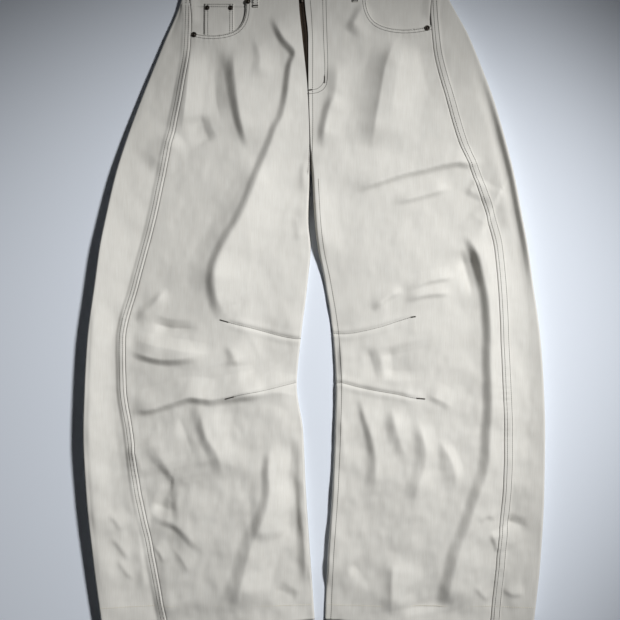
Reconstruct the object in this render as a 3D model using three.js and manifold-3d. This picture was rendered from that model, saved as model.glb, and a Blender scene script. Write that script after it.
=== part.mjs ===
// Barrel leg trousers in ecru denim, laid flat with the front up.
// Millimetres, +Z up, waist towards +Y, the wearer's right leg on the -X side.
// Inside this file a place on the garment is (x, down): x from the centre front line,
// down from the seam between the waistband and the legs.
import * as THREE from "three";
import { mergeVertices } from "three/addons/utils/BufferGeometryUtils.js";
import Module from "manifold-3d";

const wasm = await Module();
wasm.setup();

// Cloth
const cloth = {
  wall: 1.5, // one layer of denim with its turned edges
  hem: 2.6, // the hem's last stretch, turned twice
  band: 2.4, // two layers and an interlining
  patch: 1.2, // the coin pocket
  tape: 1.0, // the zip's tape
  gap: 0.3, // between two pieces at a seam
  lowest: 10.5, // no crease takes the front below this height
};

// The garment's own lengths
const length = {
  band: 40,
  toFlyEnd: 150,
  toCrotch: 281,
  toHem: 987,
};

// How the cloth turns at its edges when it lies
const lie = {
  inseamHeight: 5.5,
  inseamRound: 13,
  crotchStart: 212,
  crotchEnd: 292,
  outerRound: 9,
  outerRoundAtWaist: 6,
  backLift: 2, // the back belt loops lie under the waist
  backLiftFrom: 20,
  backLiftTo: 75,
  riseStart: 12, // the climb to the outer edge starts this far inside the seam
  hemSag: 4,
  askew: 10, // the waist's left half lies this much further up than its right half
  askewFrom: -110,
  askewTo: 110,
  askewFades: 150,
};

// Sections of each leg. inner, seam and outer are distances from the centre front line;
// plate is the height of the front cloth, rim that of the outer fold.
const rightRows = [
  { down: -40, inner: 17, seam: 187, outer: 196, plate: 14, rim: 14 },
  { down: 0, inner: 17, seam: 190, outer: 203, plate: 14, rim: 14 },
  { down: 70, inner: 11, seam: 192, outer: 231, plate: 15, rim: 16 },
  { down: 148, inner: 3, seam: 203, outer: 262, plate: 17, rim: 19 },
  { down: 228, inner: 0, seam: 220, outer: 291, plate: 17, rim: 22 },
  { down: 281, inner: -0.5, seam: 232, outer: 307, plate: 17, rim: 25 },
  { down: 354, inner: 1.5, seam: 248, outer: 323, plate: 17, rim: 28 },
  { down: 396, inner: -2, seam: 259, outer: 331, plate: 17, rim: 29 },
  { down: 449, inner: 2.5, seam: 273, outer: 338, plate: 17, rim: 30 },
  { down: 544, inner: 14, seam: 295, outer: 350, plate: 17, rim: 31 },
  { down: 615, inner: 20, seam: 294, outer: 354, plate: 17, rim: 31 },
  { down: 686, inner: 10, seam: 284, outer: 356, plate: 16, rim: 31 },
  { down: 780, inner: 5.5, seam: 271, outer: 352, plate: 16, rim: 29 },
  { down: 891, inner: -2, seam: 248, outer: 341, plate: 15, rim: 26 },
  { down: 987, inner: -8.5, seam: 230, outer: 329, plate: 14, rim: 23 },
];
const leftRows = [
  { down: -40, inner: -8, seam: 191, outer: 209, plate: 14, rim: 14 },
  { down: 0, inner: -8, seam: 194, outer: 217, plate: 14, rim: 15 },
  { down: 70, inner: -2, seam: 199, outer: 254, plate: 15, rim: 18 },
  { down: 148, inner: -1.6, seam: 217, outer: 286, plate: 17, rim: 21 },
  { down: 228, inner: 1, seam: 240, outer: 309, plate: 17, rim: 23 },
  { down: 281, inner: 4, seam: 262, outer: 322, plate: 17, rim: 25 },
  { down: 354, inner: 8, seam: 286, outer: 336, plate: 17, rim: 26 },
  { down: 396, inner: 13, seam: 295, outer: 344, plate: 17, rim: 26 },
  { down: 449, inner: 24, seam: 300, outer: 352, plate: 17, rim: 26 },
  { down: 544, inner: 38, seam: 305, outer: 365, plate: 17, rim: 25 },
  { down: 615, inner: 41.5, seam: 308, outer: 370, plate: 17, rim: 24 },
  { down: 686, inner: 40, seam: 311, outer: 372, plate: 16, rim: 24 },
  { down: 780, inner: 36, seam: 309, outer: 371, plate: 16, rim: 23 },
  { down: 891, inner: 28.5, seam: 300, outer: 365, plate: 15, rim: 22 },
  { down: 987, inner: 24.5, seam: 291, outer: 355, plate: 14, rim: 21 },
];
const rightLeg = { name: "right", side: -1, rows: rightRows };
const leftLeg = { name: "left", side: 1, rows: leftRows };

// The largest folds, each along a path of [x, down] points. The cloth stands higher by
// step on the left hand of the path and lower on its right, and sinks by dip along it.
const folds = [
  { name: "right thigh", step: 6.5, dip: 1, width: 9, reach: 48,
    path: [[-35, 104], [-41, 164], [-74, 228], [-112, 303], [-152, 378], [-169, 457]] },
  { name: "right pocket", step: 2.5, dip: 1, width: 6, reach: 18,
    path: [[-131, 95], [-122, 144], [-112, 194], [-103, 245]] },
  { name: "right inseam", step: 0, dip: 3, width: 8, reach: 20,
    path: [[-25, 315], [-30, 371], [-20, 457]] },
  { name: "right knee, upper", step: 1, dip: 3.5, width: 10, reach: 26,
    path: [[-300, 562], [-257, 577], [-182, 574], [-140, 566]] },
  { name: "right knee, lower", step: 4, dip: 1.5, width: 9, reach: 34,
    path: [[-276, 660], [-242, 652], [-182, 637], [-137, 645], [-90, 632], [-26, 630]] },
  { name: "right shin, outer", step: 3.5, dip: 1, width: 8, reach: 28,
    path: [[-182, 664], [-163, 708], [-144, 746], [-133, 790]] },
  { name: "right shin, inner", step: 4, dip: 1.5, width: 10, reach: 32,
    path: [[-62, 700], [-84, 774], [-96, 822], [-118, 910], [-125, 982]] },
  { name: "right calf", step: 2.5, dip: 1.5, width: 8, reach: 24,
    path: [[-254, 826], [-225, 832], [-200, 846], [-180, 870]] },
  { name: "left fly", step: 1.6, dip: 1, width: 6, reach: 16,
    path: [[38, 70], [38, 122], [26, 168], [12, 240]] },
  { name: "left pocket", step: 3, dip: 1.5, width: 11, reach: 34,
    path: [[139, 20], [126, 60], [112, 137], [92, 194], [66, 252]] },
  { name: "left hip", step: 1, dip: 4, width: 9, reach: 26,
    path: [[76, 312], [130, 291], [198, 275], [262, 268]] },
  { name: "left knee, upper", step: 1.5, dip: 2.5, width: 8, reach: 22,
    path: [[92, 494], [149, 462], [232, 446]] },
  { name: "left seam", step: 5, dip: 2, width: 8, reach: 34,
    path: [[246, 370], [269, 436], [277, 512], [277, 638], [277, 725], [254, 812],
      [231, 891], [208, 975]] },
  { name: "left edge", step: 3.5, dip: 2, width: 7, reach: 20,
    path: [[240, 112], [286, 183], [311, 261], [332, 349], [346, 442], [352, 530]] },
  { name: "left dart", step: 1.5, dip: 1.5, width: 8, reach: 22,
    path: [[160, 645], [172, 689], [179, 720], [166, 765], [158, 812]] },
  { name: "left hem", step: 2.5, dip: 1.5, width: 9, reach: 26,
    path: [[120, 880], [128, 923], [125, 978]] },
];
const foldFade = { waist: 60, hem: 12, ends: 0.14 };

// Openings and trims
const mouths = {
  right: { width: 90, depth: 62, climb: 8, power: 3.6 },
  left: { width: 106, depth: 59, climb: 8, power: 3.6 },
};
const facing = { underlap: 14, depthRight: 3.3, depthLeft: 2.6 };
const coinPocket = { inner: 120, outer: 167, top: 9, bottom: 76, depth: 1.8 };
const fly = { shieldFrom: -34, shieldTo: 20, shieldDepth: 4.3, tapeHalf: 9, tapeDepth: 3.0 };
const slider = { x: -12.4, down: 6, width: 6, long: 11, depth: 0.6, thick: 2 };
const bandLap = { under: 22, rampFrom: -46, rampTo: -16 };
const loop = { width: 10, thick: 1.7, below: 16.5, lift: 1.2, right: -85.5, left: 72.5,
  backSide: 128 };
const rivet = { radius: 4.4, height: 1.5 };
const smallRivet = { radius: 3.8, height: 1.3 };
const button = { radius: 8.5, height: 3.6, x: 7, down: -20 };

// How finely the walls are divided
const steps = { length: 42, round: 3, front: 11, sideTop: 4, sideArc: 5, sideBack: 2, back: 7 };

const colours = { denim: "#d6d3c6", tape: "#3b2c1c", metal: "#2f2b28" };

const clamp = (t) => Math.min(1, Math.max(0, t));
const smooth = (t) => clamp(t) ** 2 * (3 - 2 * clamp(t));
const mix = (a, b, t) => a + (b - a) * t;

// A curve through the rows' values that never overshoots them.
function along(rows, column, down) {
  const last = rows.length - 1;
  const i = Math.min(last - 1, Math.max(0, rows.findIndex((r) => r.down > down) - 1));
  const at = down >= rows[last].down ? last - 1 : i;
  const slope = (k) =>
    (rows[k + 1][column] - rows[k][column]) / (rows[k + 1].down - rows[k].down);
  const tangent = (k) => {
    if (k === 0) return slope(0);
    if (k === last) return slope(last - 1);
    const before = slope(k - 1);
    const after = slope(k);
    return before * after <= 0 ? 0 : (2 * before * after) / (before + after);
  };
  const span = rows[at + 1].down - rows[at].down;
  const t = clamp((down - rows[at].down) / span);
  const from = rows[at][column];
  const to = rows[at + 1][column];
  return (
    from * (1 + 2 * t) * (1 - t) ** 2 +
    to * t * t * (3 - 2 * t) +
    span * t * (1 - t) * (tangent(at) * (1 - t) - tangent(at + 1) * t)
  );
}

function sectionAt(leg, down) {
  const section = {};
  for (const column of ["inner", "seam", "outer", "plate", "rim"])
    section[column] = along(leg.rows, column, down);
  section.round = mix(lie.outerRoundAtWaist, lie.outerRound, smooth(down / length.toCrotch));
  section.crest = section.outer - section.round;
  return section;
}

const backHeight = (down) =>
  lie.backLift * (1 - smooth((down - lie.backLiftFrom) / (lie.backLiftTo - lie.backLiftFrom)));

// 0 in the trunk, where the front and the back are apart, 1 in the legs, where they meet
const legShare = (down) =>
  smooth((down - lie.crotchStart) / (lie.crotchEnd - lie.crotchStart));

// Distance from a fold's path, positive on its left hand, and the share of its length there
function besidePath(path, x, down) {
  let best = { far: Infinity };
  const legs = path.slice(1).map((p, i) => Math.hypot(p[0] - path[i][0], p[1] - path[i][1]));
  const whole = legs.reduce((sum, l) => sum + l, 0);
  let before = 0;
  legs.forEach((long, i) => {
    const [ax, ad] = path[i];
    const ux = (path[i + 1][0] - ax) / long;
    const ud = (path[i + 1][1] - ad) / long;
    const t = Math.min(long, Math.max(0, (x - ax) * ux + (down - ad) * ud));
    const far = Math.hypot(x - ax - ux * t, down - ad - ud * t);
    if (far < best.far) {
      const hand = Math.sign((x - ax) * ud - (down - ad) * ux);
      best = { far, offset: hand * far, share: (before + t) / whole };
    }
    before += long;
  });
  return best;
}

function foldHeight(x, down) {
  let sum = 0;
  for (const f of folds) {
    const { offset, share } = besidePath(f.path, x, down);
    const ends = smooth(share / foldFade.ends) * smooth((1 - share) / foldFade.ends);
    const hump = f.step * Math.tanh(offset / f.width) * Math.exp(-((offset / f.reach) ** 2));
    const trough = f.dip * Math.exp(-((offset / f.width) ** 2));
    sum += ends * (hump - trough);
  }
  return sum * smooth(down / foldFade.waist);
}

// The height of the front's outer face at a place of one leg
function frontHeight(leg, x, down) {
  const s = sectionAt(leg, down);
  const start = s.seam - lie.riseStart;
  const rise = smooth((leg.side * x - start) / (s.crest - start));
  const flat = mix(s.plate, s.rim, rise);
  const level = flat + foldHeight(x, down) * (1 - rise ** 4);
  return level > cloth.lowest + 2 ? level : cloth.lowest + 2 * Math.exp((level - cloth.lowest - 2) / 2);
}

// The garment lies a little askew: places near the waist move up on its left half.
function placeAt(x, down, level) {
  const left = smooth((x - lie.askewFrom) / (lie.askewTo - lie.askewFrom));
  const lift = lie.askew * left * (1 - smooth(down / lie.askewFades));
  return new THREE.Vector3(x, lift - down, level);
}

// A place on the front's outer face, sunk below it by depth, with the way out of the cloth
function onFront(leg, x, down, depth = 0) {
  const d = 2;
  const dx = (frontHeight(leg, x + d, down) - frontHeight(leg, x - d, down)) / (2 * d);
  const dy = (frontHeight(leg, x, down - d) - frontHeight(leg, x, down + d)) / (2 * d);
  const out = new THREE.Vector3(-dx, -dy, 1).normalize();
  const point = placeAt(x, down, frontHeight(leg, x, down));
  return { point: point.addScaledVector(out, -depth), out };
}

// A closed wall: at(i, j) gives an outer point and the way out, thick is measured inwards,
// and lastThick is that of the last row.
function wallGeometry(rowCount, columnCount, at, thick, lastThick = thick) {
  const outer = [];
  const inner = [];
  for (let i = 0; i <= rowCount; i++)
    for (let j = 0; j <= columnCount; j++) {
      const { point, out } = at(i, j);
      outer.push(point.x, point.y, point.z);
      const under = point.clone().addScaledVector(out, i < rowCount ? -thick : -lastThick);
      inner.push(under.x, under.y, under.z);
    }
  const across = columnCount + 1;
  const count = (rowCount + 1) * across;
  const index = [];
  const quad = (a, b, c, d) => index.push(a, b, c, a, c, d);
  for (let i = 0; i < rowCount; i++)
    for (let j = 0; j < columnCount; j++) {
      const a = i * across + j;
      quad(a, a + across, a + across + 1, a + 1);
      quad(count + a, count + a + 1, count + a + across + 1, count + a + across);
    }
  const rim = (a, b) => quad(a, b, count + b, count + a);
  for (let j = 0; j < columnCount; j++) {
    rim(j, j + 1);
    rim(rowCount * across + j + 1, rowCount * across + j);
  }
  for (let i = 0; i < rowCount; i++) {
    rim((i + 1) * across, i * across);
    rim(i * across + columnCount, (i + 1) * across + columnCount);
  }
  const geometry = new THREE.BufferGeometry();
  geometry.setAttribute("position", new THREE.Float32BufferAttribute([...outer, ...inner], 3));
  geometry.setIndex(index);
  return facingOut(geometry);
}

// Turns every face round if the solid is inside out.
function facingOut(geometry) {
  const p = geometry.getAttribute("position");
  const index = geometry.getIndex();
  const [a, b, c] = [new THREE.Vector3(), new THREE.Vector3(), new THREE.Vector3()];
  let volume = 0;
  for (let i = 0; i < index.count; i += 3) {
    a.fromBufferAttribute(p, index.getX(i));
    b.fromBufferAttribute(p, index.getX(i + 1));
    c.fromBufferAttribute(p, index.getX(i + 2));
    volume += a.dot(b.cross(c)) / 6;
  }
  if (volume < 0) geometry.setIndex([...index.array].reverse());
  return geometry;
}

function solidOf(geometry) {
  const bare = geometry.clone();
  bare.deleteAttribute("normal");
  bare.deleteAttribute("uv");
  const merged = mergeVertices(bare, 1e-4);
  return new wasm.Manifold(
    new wasm.Mesh({
      numProp: 3,
      vertProperties: new Float32Array(merged.getAttribute("position").array),
      triVerts: new Uint32Array(merged.getIndex().array),
    }),
  );
}

function geometryOf(solid) {
  const mesh = solid.getMesh();
  const geometry = new THREE.BufferGeometry();
  geometry.setAttribute("position", new THREE.BufferAttribute(mesh.vertProperties, 3));
  geometry.setIndex(new THREE.BufferAttribute(mesh.triVerts, 1));
  return geometry;
}

// Rows run from the waist seam to the hem, and the hem hangs a little lower in its middle.
const rowDown = (i) => mix(cloth.gap / 2, length.toHem, i / steps.length);
const hemSag = (down, share) =>
  lie.hemSag * Math.sin(Math.PI * share) * smooth((down - 800) / (length.toHem - 800));

function frontPanel(leg) {
  return wallGeometry(
    steps.length,
    steps.round + steps.front,
    (i, j) => {
      const down = rowDown(i);
      const s = sectionAt(leg, down);
      const share = legShare(down);
      const inner = s.inner + cloth.gap / 2;
      const start = inner + lie.inseamRound;
      const top = frontHeight(leg, leg.side * start, down);
      if (j < steps.round) {
        const turn = (j / steps.round) * (Math.PI / 2);
        const drop = share * (top - lie.inseamHeight - cloth.gap / 2);
        const x = leg.side * (inner + lie.inseamRound * (1 - Math.cos(turn)));
        const trunk = onFront(leg, x, down);
        const level = mix(trunk.point.z, top - drop * (1 - Math.sin(turn)), share);
        const out = new THREE.Vector3(-leg.side * Math.cos(turn) * drop, 0,
          Math.sin(turn) * lie.inseamRound + lie.inseamRound * (1 - share));
        out.normalize().lerp(trunk.out, 1 - share).normalize();
        return { point: placeAt(x, down, level), out };
      }
      const across = (j - steps.round) / steps.front;
      const x = leg.side * mix(start, s.seam - cloth.gap / 2, across);
      const place = onFront(leg, x, down);
      place.point.y -= hemSag(down, across * 0.8);
      return place;
    },
    cloth.wall,
    cloth.hem,
  );
}

function backPanel(leg) {
  return wallGeometry(
    steps.length,
    steps.round + steps.back,
    (i, j) => {
      const down = rowDown(i);
      const s = sectionAt(leg, down);
      const share = legShare(down);
      const inner = cloth.gap / 2 + share * s.inner;
      const start = inner + lie.inseamRound;
      const low = backHeight(down);
      if (j < steps.round) {
        const turn = (j / steps.round) * (Math.PI / 2);
        const lift = share * (lie.inseamHeight - cloth.gap / 2 - low);
        const x = leg.side * (inner + lie.inseamRound * (1 - Math.cos(turn)));
        const out = new THREE.Vector3(-leg.side * Math.cos(turn) * lift, 0,
          -Math.sin(turn) * lie.inseamRound - lie.inseamRound * (1 - share));
        const level = low + lift * (1 - Math.sin(turn));
        return { point: placeAt(x, down, level), out: out.normalize() };
      }
      const across = (j - steps.round) / steps.back;
      const x = leg.side * mix(start, s.seam - cloth.gap / 2, across);
      const point = placeAt(x, down + hemSag(down, across * 0.8), low);
      return { point, out: new THREE.Vector3(0, 0, -1) };
    },
    cloth.wall,
    cloth.hem,
  );
}

// The side panel goes from the front seam round the outer fold to the back seam.
function sidePlace(leg, down, j) {
  const s = sectionAt(leg, down);
  const from = s.seam + cloth.gap / 2;
  const low = backHeight(down);
  if (j <= steps.sideTop) {
    const share = j / steps.sideTop;
    const place = onFront(leg, leg.side * mix(from, s.crest, share), down);
    place.point.y -= hemSag(down, 0.8 + 0.2 * share);
    return place;
  }
  const turned = j - steps.sideTop;
  if (turned < steps.sideArc) {
    const turn = Math.PI / 2 - (turned / steps.sideArc) * Math.PI;
    const high = frontHeight(leg, leg.side * s.crest, down);
    const half = (high - low) / 2;
    const out = new THREE.Vector3(leg.side * Math.cos(turn) * half, 0, Math.sin(turn) * s.round);
    const x = leg.side * (s.crest + s.round * Math.cos(turn));
    const point = placeAt(x, down, low + half + half * Math.sin(turn));
    return { point, out: out.normalize() };
  }
  const share = (turned - steps.sideArc) / steps.sideBack;
  const x = leg.side * mix(s.crest, from, share);
  const point = placeAt(x, down + hemSag(down, 1 - 0.2 * share), low);
  return { point, out: new THREE.Vector3(0, 0, -1) };
}

const sidePanel = (leg) =>
  wallGeometry(
    steps.length,
    steps.sideTop + steps.sideArc + steps.sideBack,
    (i, j) => sidePlace(leg, rowDown(i), j),
    cloth.wall,
    cloth.hem,
  );

// How far below the waist seam the pocket's mouth reaches, at a distance from the centre
function mouthDown(leg, from) {
  const m = mouths[leg.name];
  const u = clamp((sectionAt(leg, 30).seam - from) / m.width);
  return m.depth * (1 - u ** m.power) ** (1 / m.power) - m.climb * (1 - u) ** 4;
}

// The front without the corner that the pocket's mouth opens
function cutFront(leg) {
  const seam = sectionAt(leg, 30).seam;
  const spare = 12;
  const points = [new THREE.Vector2(leg.side * (seam + spare), spare)];
  points.push(new THREE.Vector2(leg.side * (seam + spare), -mouthDown(leg, seam)));
  const turns = 14;
  for (let i = 0; i <= turns; i++) {
    const from = seam - mouths[leg.name].width * Math.sin((i / turns) * (Math.PI / 2));
    points.push(new THREE.Vector2(leg.side * from, -mouthDown(leg, from)));
  }
  points.push(new THREE.Vector2(leg.side * (seam - mouths[leg.name].width), spare));
  const corner = new THREE.ExtrudeGeometry(new THREE.Shape(points), {
    depth: 60,
    bevelEnabled: false,
  });
  return geometryOf(solidOf(frontPanel(leg)).subtract(solidOf(corner)));
}

// A patch of cloth under the front, between two distances from the centre and two downs
function patchUnder(leg, box, depth, thick, rows, columns) {
  return wallGeometry(
    rows,
    columns,
    (i, j) => {
      const down = mix(box.top, box.bottom, i / rows);
      const outer = Math.min(box.outer, sectionAt(leg, down).seam - cloth.gap / 2);
      return onFront(leg, leg.side * mix(box.inner, outer, j / columns), down, depth);
    },
    thick,
  );
}

function pocketFacing(leg, depth) {
  const m = mouths[leg.name];
  const box = {
    inner: sectionAt(leg, 0).seam - m.width - facing.underlap,
    outer: Infinity,
    top: cloth.gap / 2,
    bottom: m.depth + facing.underlap,
  };
  return patchUnder(leg, box, depth, cloth.wall, 5, 7);
}

// The strips behind the fly, which the left front covers
function flyShield() {
  const rows = 8;
  const columns = 3;
  return wallGeometry(
    rows,
    columns,
    (i, j) => {
      const down = mix(cloth.gap / 2, length.toFlyEnd, i / rows);
      const narrow = mix(1, 0.55, i / rows);
      const x = mix(fly.shieldFrom * narrow, fly.shieldTo * narrow, j / columns);
      return onFront(leftLeg, x, down, fly.shieldDepth);
    },
    cloth.wall,
  );
}

function zipTape() {
  const rows = 8;
  const columns = 2;
  return wallGeometry(
    rows,
    columns,
    (i, j) => {
      const down = mix(cloth.gap / 2, length.toFlyEnd - 4, i / rows);
      const right = -sectionAt(rightLeg, down).inner;
      const left = sectionAt(leftLeg, down).inner;
      const x = (right + left) / 2 + fly.tapeHalf * mix(-1, 1, j / columns);
      return onFront(leftLeg, x, down, fly.tapeDepth);
    },
    cloth.tape,
  );
}

// The slider stands between the two fronts, on the tape.
function zipSlider() {
  return wallGeometry(
    3,
    2,
    (i, j) => {
      const x = slider.x + slider.width * (j / 2 - 0.5);
      return onFront(leftLeg, x, slider.down + slider.long * (i / 3 - 0.5), slider.depth);
    },
    slider.thick,
  );
}

// The waistband goes from its under end at the centre front round the body to its over end.
function waistband() {
  const rows = 2;
  const parts = { front: 9, arc: 5, back: 14 };
  const columns = 2 * parts.front + 2 * parts.arc + parts.back;
  const arcPlace = (leg, down, turn) => {
    const s = sectionAt(leg, down);
    const low = backHeight(down);
    const half = (frontHeight(leg, leg.side * s.crest, down) - low) / 2;
    const out = new THREE.Vector3(leg.side * Math.cos(turn) * half, 0, Math.sin(turn) * s.round);
    const x = leg.side * (s.crest + s.round * Math.cos(turn));
    const point = placeAt(x, down, low + half + half * Math.sin(turn));
    return { point, out: out.normalize() };
  };
  return wallGeometry(
    rows,
    columns,
    (i, j) => {
      const down = mix(-cloth.gap / 2, -length.band, i / rows);
      const right = sectionAt(rightLeg, down);
      const left = sectionAt(leftLeg, down);
      let k = j;
      if (k < parts.front) {
        const x = mix(bandLap.under, -right.crest, k / parts.front);
        const lap = smooth((x - bandLap.rampFrom) / (bandLap.rampTo - bandLap.rampFrom));
        return onFront(rightLeg, x, down, lap * (cloth.band + 2 * cloth.gap));
      }
      k -= parts.front;
      if (k < parts.arc)
        return arcPlace(rightLeg, down, Math.PI / 2 - (k / parts.arc) * Math.PI);
      k -= parts.arc;
      if (k < parts.back) {
        const x = mix(-right.crest, left.crest, k / parts.back);
        return {
          point: placeAt(x, down, backHeight(down)),
          out: new THREE.Vector3(0, 0, -1),
        };
      }
      k -= parts.back;
      if (k < parts.arc)
        return arcPlace(leftLeg, down, -Math.PI / 2 + (k / parts.arc) * Math.PI);
      k -= parts.arc;
      return onFront(leftLeg, mix(left.crest, left.inner, k / parts.front), down);
    },
    cloth.band,
  );
}

// A belt loop over the front of the waistband, bowed a little off it
function frontLoop(leg, x) {
  const rows = 8;
  return wallGeometry(
    rows,
    1,
    (i, j) => {
      const share = i / rows;
      const down = mix(-length.band, loop.below, share);
      const bow = loop.lift * Math.sin(Math.PI * share);
      const proud = cloth.gap + loop.thick + bow;
      return onFront(leg, x + loop.width * (j - 0.5), down, -proud);
    },
    loop.thick,
  );
}

// A belt loop pressed flat under the back of the waistband
function backLoop(x) {
  return wallGeometry(
    3,
    1,
    (i, j) => {
      const down = mix(-length.band, loop.below, i / 3);
      const level = backHeight(down) - cloth.gap - loop.thick;
      const point = placeAt(x + loop.width * (j - 0.5), down, level);
      return { point, out: new THREE.Vector3(0, 0, -1) };
    },
    loop.thick,
  );
}

// A turned metal stud that stands on a place of the cloth
function stud(size, place) {
  const profile = [
    [0, 0],
    [size.radius, 0],
    [size.radius, size.height * 0.45],
    [size.radius * 0.72, size.height],
    [0, size.height],
  ].map(([r, z]) => new THREE.Vector2(r, z));
  const sides = 12;
  const geometry = new THREE.LatheGeometry(profile, sides);
  const turn = new THREE.Quaternion().setFromUnitVectors(new THREE.Vector3(0, 1, 0), place.out);
  geometry.applyQuaternion(turn);
  geometry.translate(...place.point.clone().addScaledVector(place.out, cloth.gap));
  return geometryOf(solidOf(geometry));
}

const material = (colour, roughness, metalness) =>
  new THREE.MeshStandardMaterial({ color: colour, roughness, metalness });
const denim = material(colours.denim, 0.9, 0);
const tape = material(colours.tape, 0.85, 0);
const metal = material(colours.metal, 0.45, 0.8);

const trousers = new THREE.Group();
function add(name, geometry, finish) {
  const mesh = new THREE.Mesh(geometry, finish);
  mesh.name = name;
  trousers.add(mesh);
}

for (const leg of [rightLeg, leftLeg]) {
  add(`front_${leg.name}`, cutFront(leg), denim);
  add(`side_${leg.name}`, sidePanel(leg), denim);
  add(`back_${leg.name}`, backPanel(leg), denim);
}
add("waistband", waistband(), denim);
add("pocket_facing_right", pocketFacing(rightLeg, facing.depthRight), denim);
add("pocket_facing_left", pocketFacing(leftLeg, facing.depthLeft), denim);
add("coin_pocket", patchUnder(rightLeg, coinPocket, coinPocket.depth, cloth.patch, 4, 4), denim);
add("fly_shield", flyShield(), denim);
add("zip_tape", zipTape(), tape);
add("zip_slider", zipSlider(), metal);
add("belt_loop_front_right", frontLoop(rightLeg, loop.right), denim);
add("belt_loop_front_left", frontLoop(leftLeg, loop.left), denim);
add("belt_loop_back_right", backLoop(-loop.backSide), denim);
add("belt_loop_back_centre", backLoop(0), denim);
add("belt_loop_back_left", backLoop(loop.backSide), denim);

const studs = [
  { name: "rivet_right_low", leg: rightLeg, size: rivet, from: 182.5, down: 61 },
  { name: "rivet_right_high", leg: rightLeg, size: rivet, from: 97.5, down: 6 },
  { name: "rivet_left_low", leg: leftLeg, size: rivet, from: 185.5, down: 58 },
  { name: "rivet_left_high", leg: leftLeg, size: rivet, from: 82.5, down: 6 },
];
for (const s of studs)
  add(s.name, stud(s.size, onFront(s.leg, s.leg.side * s.from, s.down)), metal);
const coinCorners = { inner: coinPocket.inner + 5, outer: coinPocket.outer - 5 };
for (const [edge, from] of Object.entries(coinCorners)) {
  const place = onFront(rightLeg, -from, coinPocket.top + 8, coinPocket.depth);
  add(`rivet_coin_${edge}`, stud(smallRivet, place), metal);
}
add("waist_button", stud(button, onFront(leftLeg, button.x, button.down)), metal);

// The origin is the bottom centre of the whole garment.
const box = new THREE.Box3().setFromObject(trousers);
const centre = box.getCenter(new THREE.Vector3());
trousers.position.set(-centre.x, -centre.y, -box.min.z);

export default trousers;
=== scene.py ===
import math

import bpy
import numpy as np
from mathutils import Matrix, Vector


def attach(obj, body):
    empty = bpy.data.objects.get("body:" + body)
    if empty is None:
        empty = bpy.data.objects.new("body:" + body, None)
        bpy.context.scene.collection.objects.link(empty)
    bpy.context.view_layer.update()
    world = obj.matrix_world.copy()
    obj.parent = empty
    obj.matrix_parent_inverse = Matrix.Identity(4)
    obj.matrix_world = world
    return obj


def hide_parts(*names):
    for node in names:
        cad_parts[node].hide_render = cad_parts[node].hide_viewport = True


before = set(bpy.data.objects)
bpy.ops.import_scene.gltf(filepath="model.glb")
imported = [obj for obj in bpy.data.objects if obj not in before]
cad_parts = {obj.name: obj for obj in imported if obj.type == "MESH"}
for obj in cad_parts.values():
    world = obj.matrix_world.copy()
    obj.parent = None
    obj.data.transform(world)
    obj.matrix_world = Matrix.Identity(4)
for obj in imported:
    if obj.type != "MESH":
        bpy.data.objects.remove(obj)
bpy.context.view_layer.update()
print("frame loaded")

# The trousers' own sizes are in millimetres. A place on them is (x, down):
# x from the centre front line, down from the seam under the waistband.
mm = 0.001
shift = dict(x=-8.0, y=470.499)  # from the garment's own lines to the frame

cloth = dict(wall=1.5, hem=2.6, band=2.4, patch=1.2, gap=0.3, lowest=10.5, lowestOnLeg=5.5)
lie = dict(inseamHeight=3.2, inseamRound=3.5, inseamEdge=7, crotchStart=212, crotchEnd=292,
           outerRound=4, backLift=2, backLiftFrom=20, backLiftTo=75,
           rampFrom=dict(right=200, left=330), rampWidth=dict(right=95, left=130), rampLong=130,
           seamSink=dict(right=5.5, left=0.5), sinkFrom=170, sinkLong=160, sinkReach=130,
           riseStart=dict(right=-12, left=12), risePower=dict(right=1.15, left=1.6),
           lowestFrom=200, lowestLong=100, softFloor=2, hemSag=4, sagFrom=800, seamSag=0.8,
           askew=10, askewFrom=-110, askewTo=110, askewFades=150)
# The wearer's left hip: the fold at the outer edge stands up from a narrow hollow beside it
lip = dict(top=95, bottom=480, fade=130, inside=12, height=5.5, hollow=2.0)
length = dict(band=40, toCrotch=281, toHem=987)
halfGap = cloth["gap"] / 2

# The double-stitched seam between front and side: the side's folded edge laps over the front
# by lap, and its allowances and the thread raise and pucker the cloth
seamRelief = dict(lap=dict(right=4.0, left=5.0), rise=1.0, wide=11, ditch=0.6, ditchWidth=1.2,
                  pucker=0.28, puckerWide=9, lapFrom=-5, lapLong=40)

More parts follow.
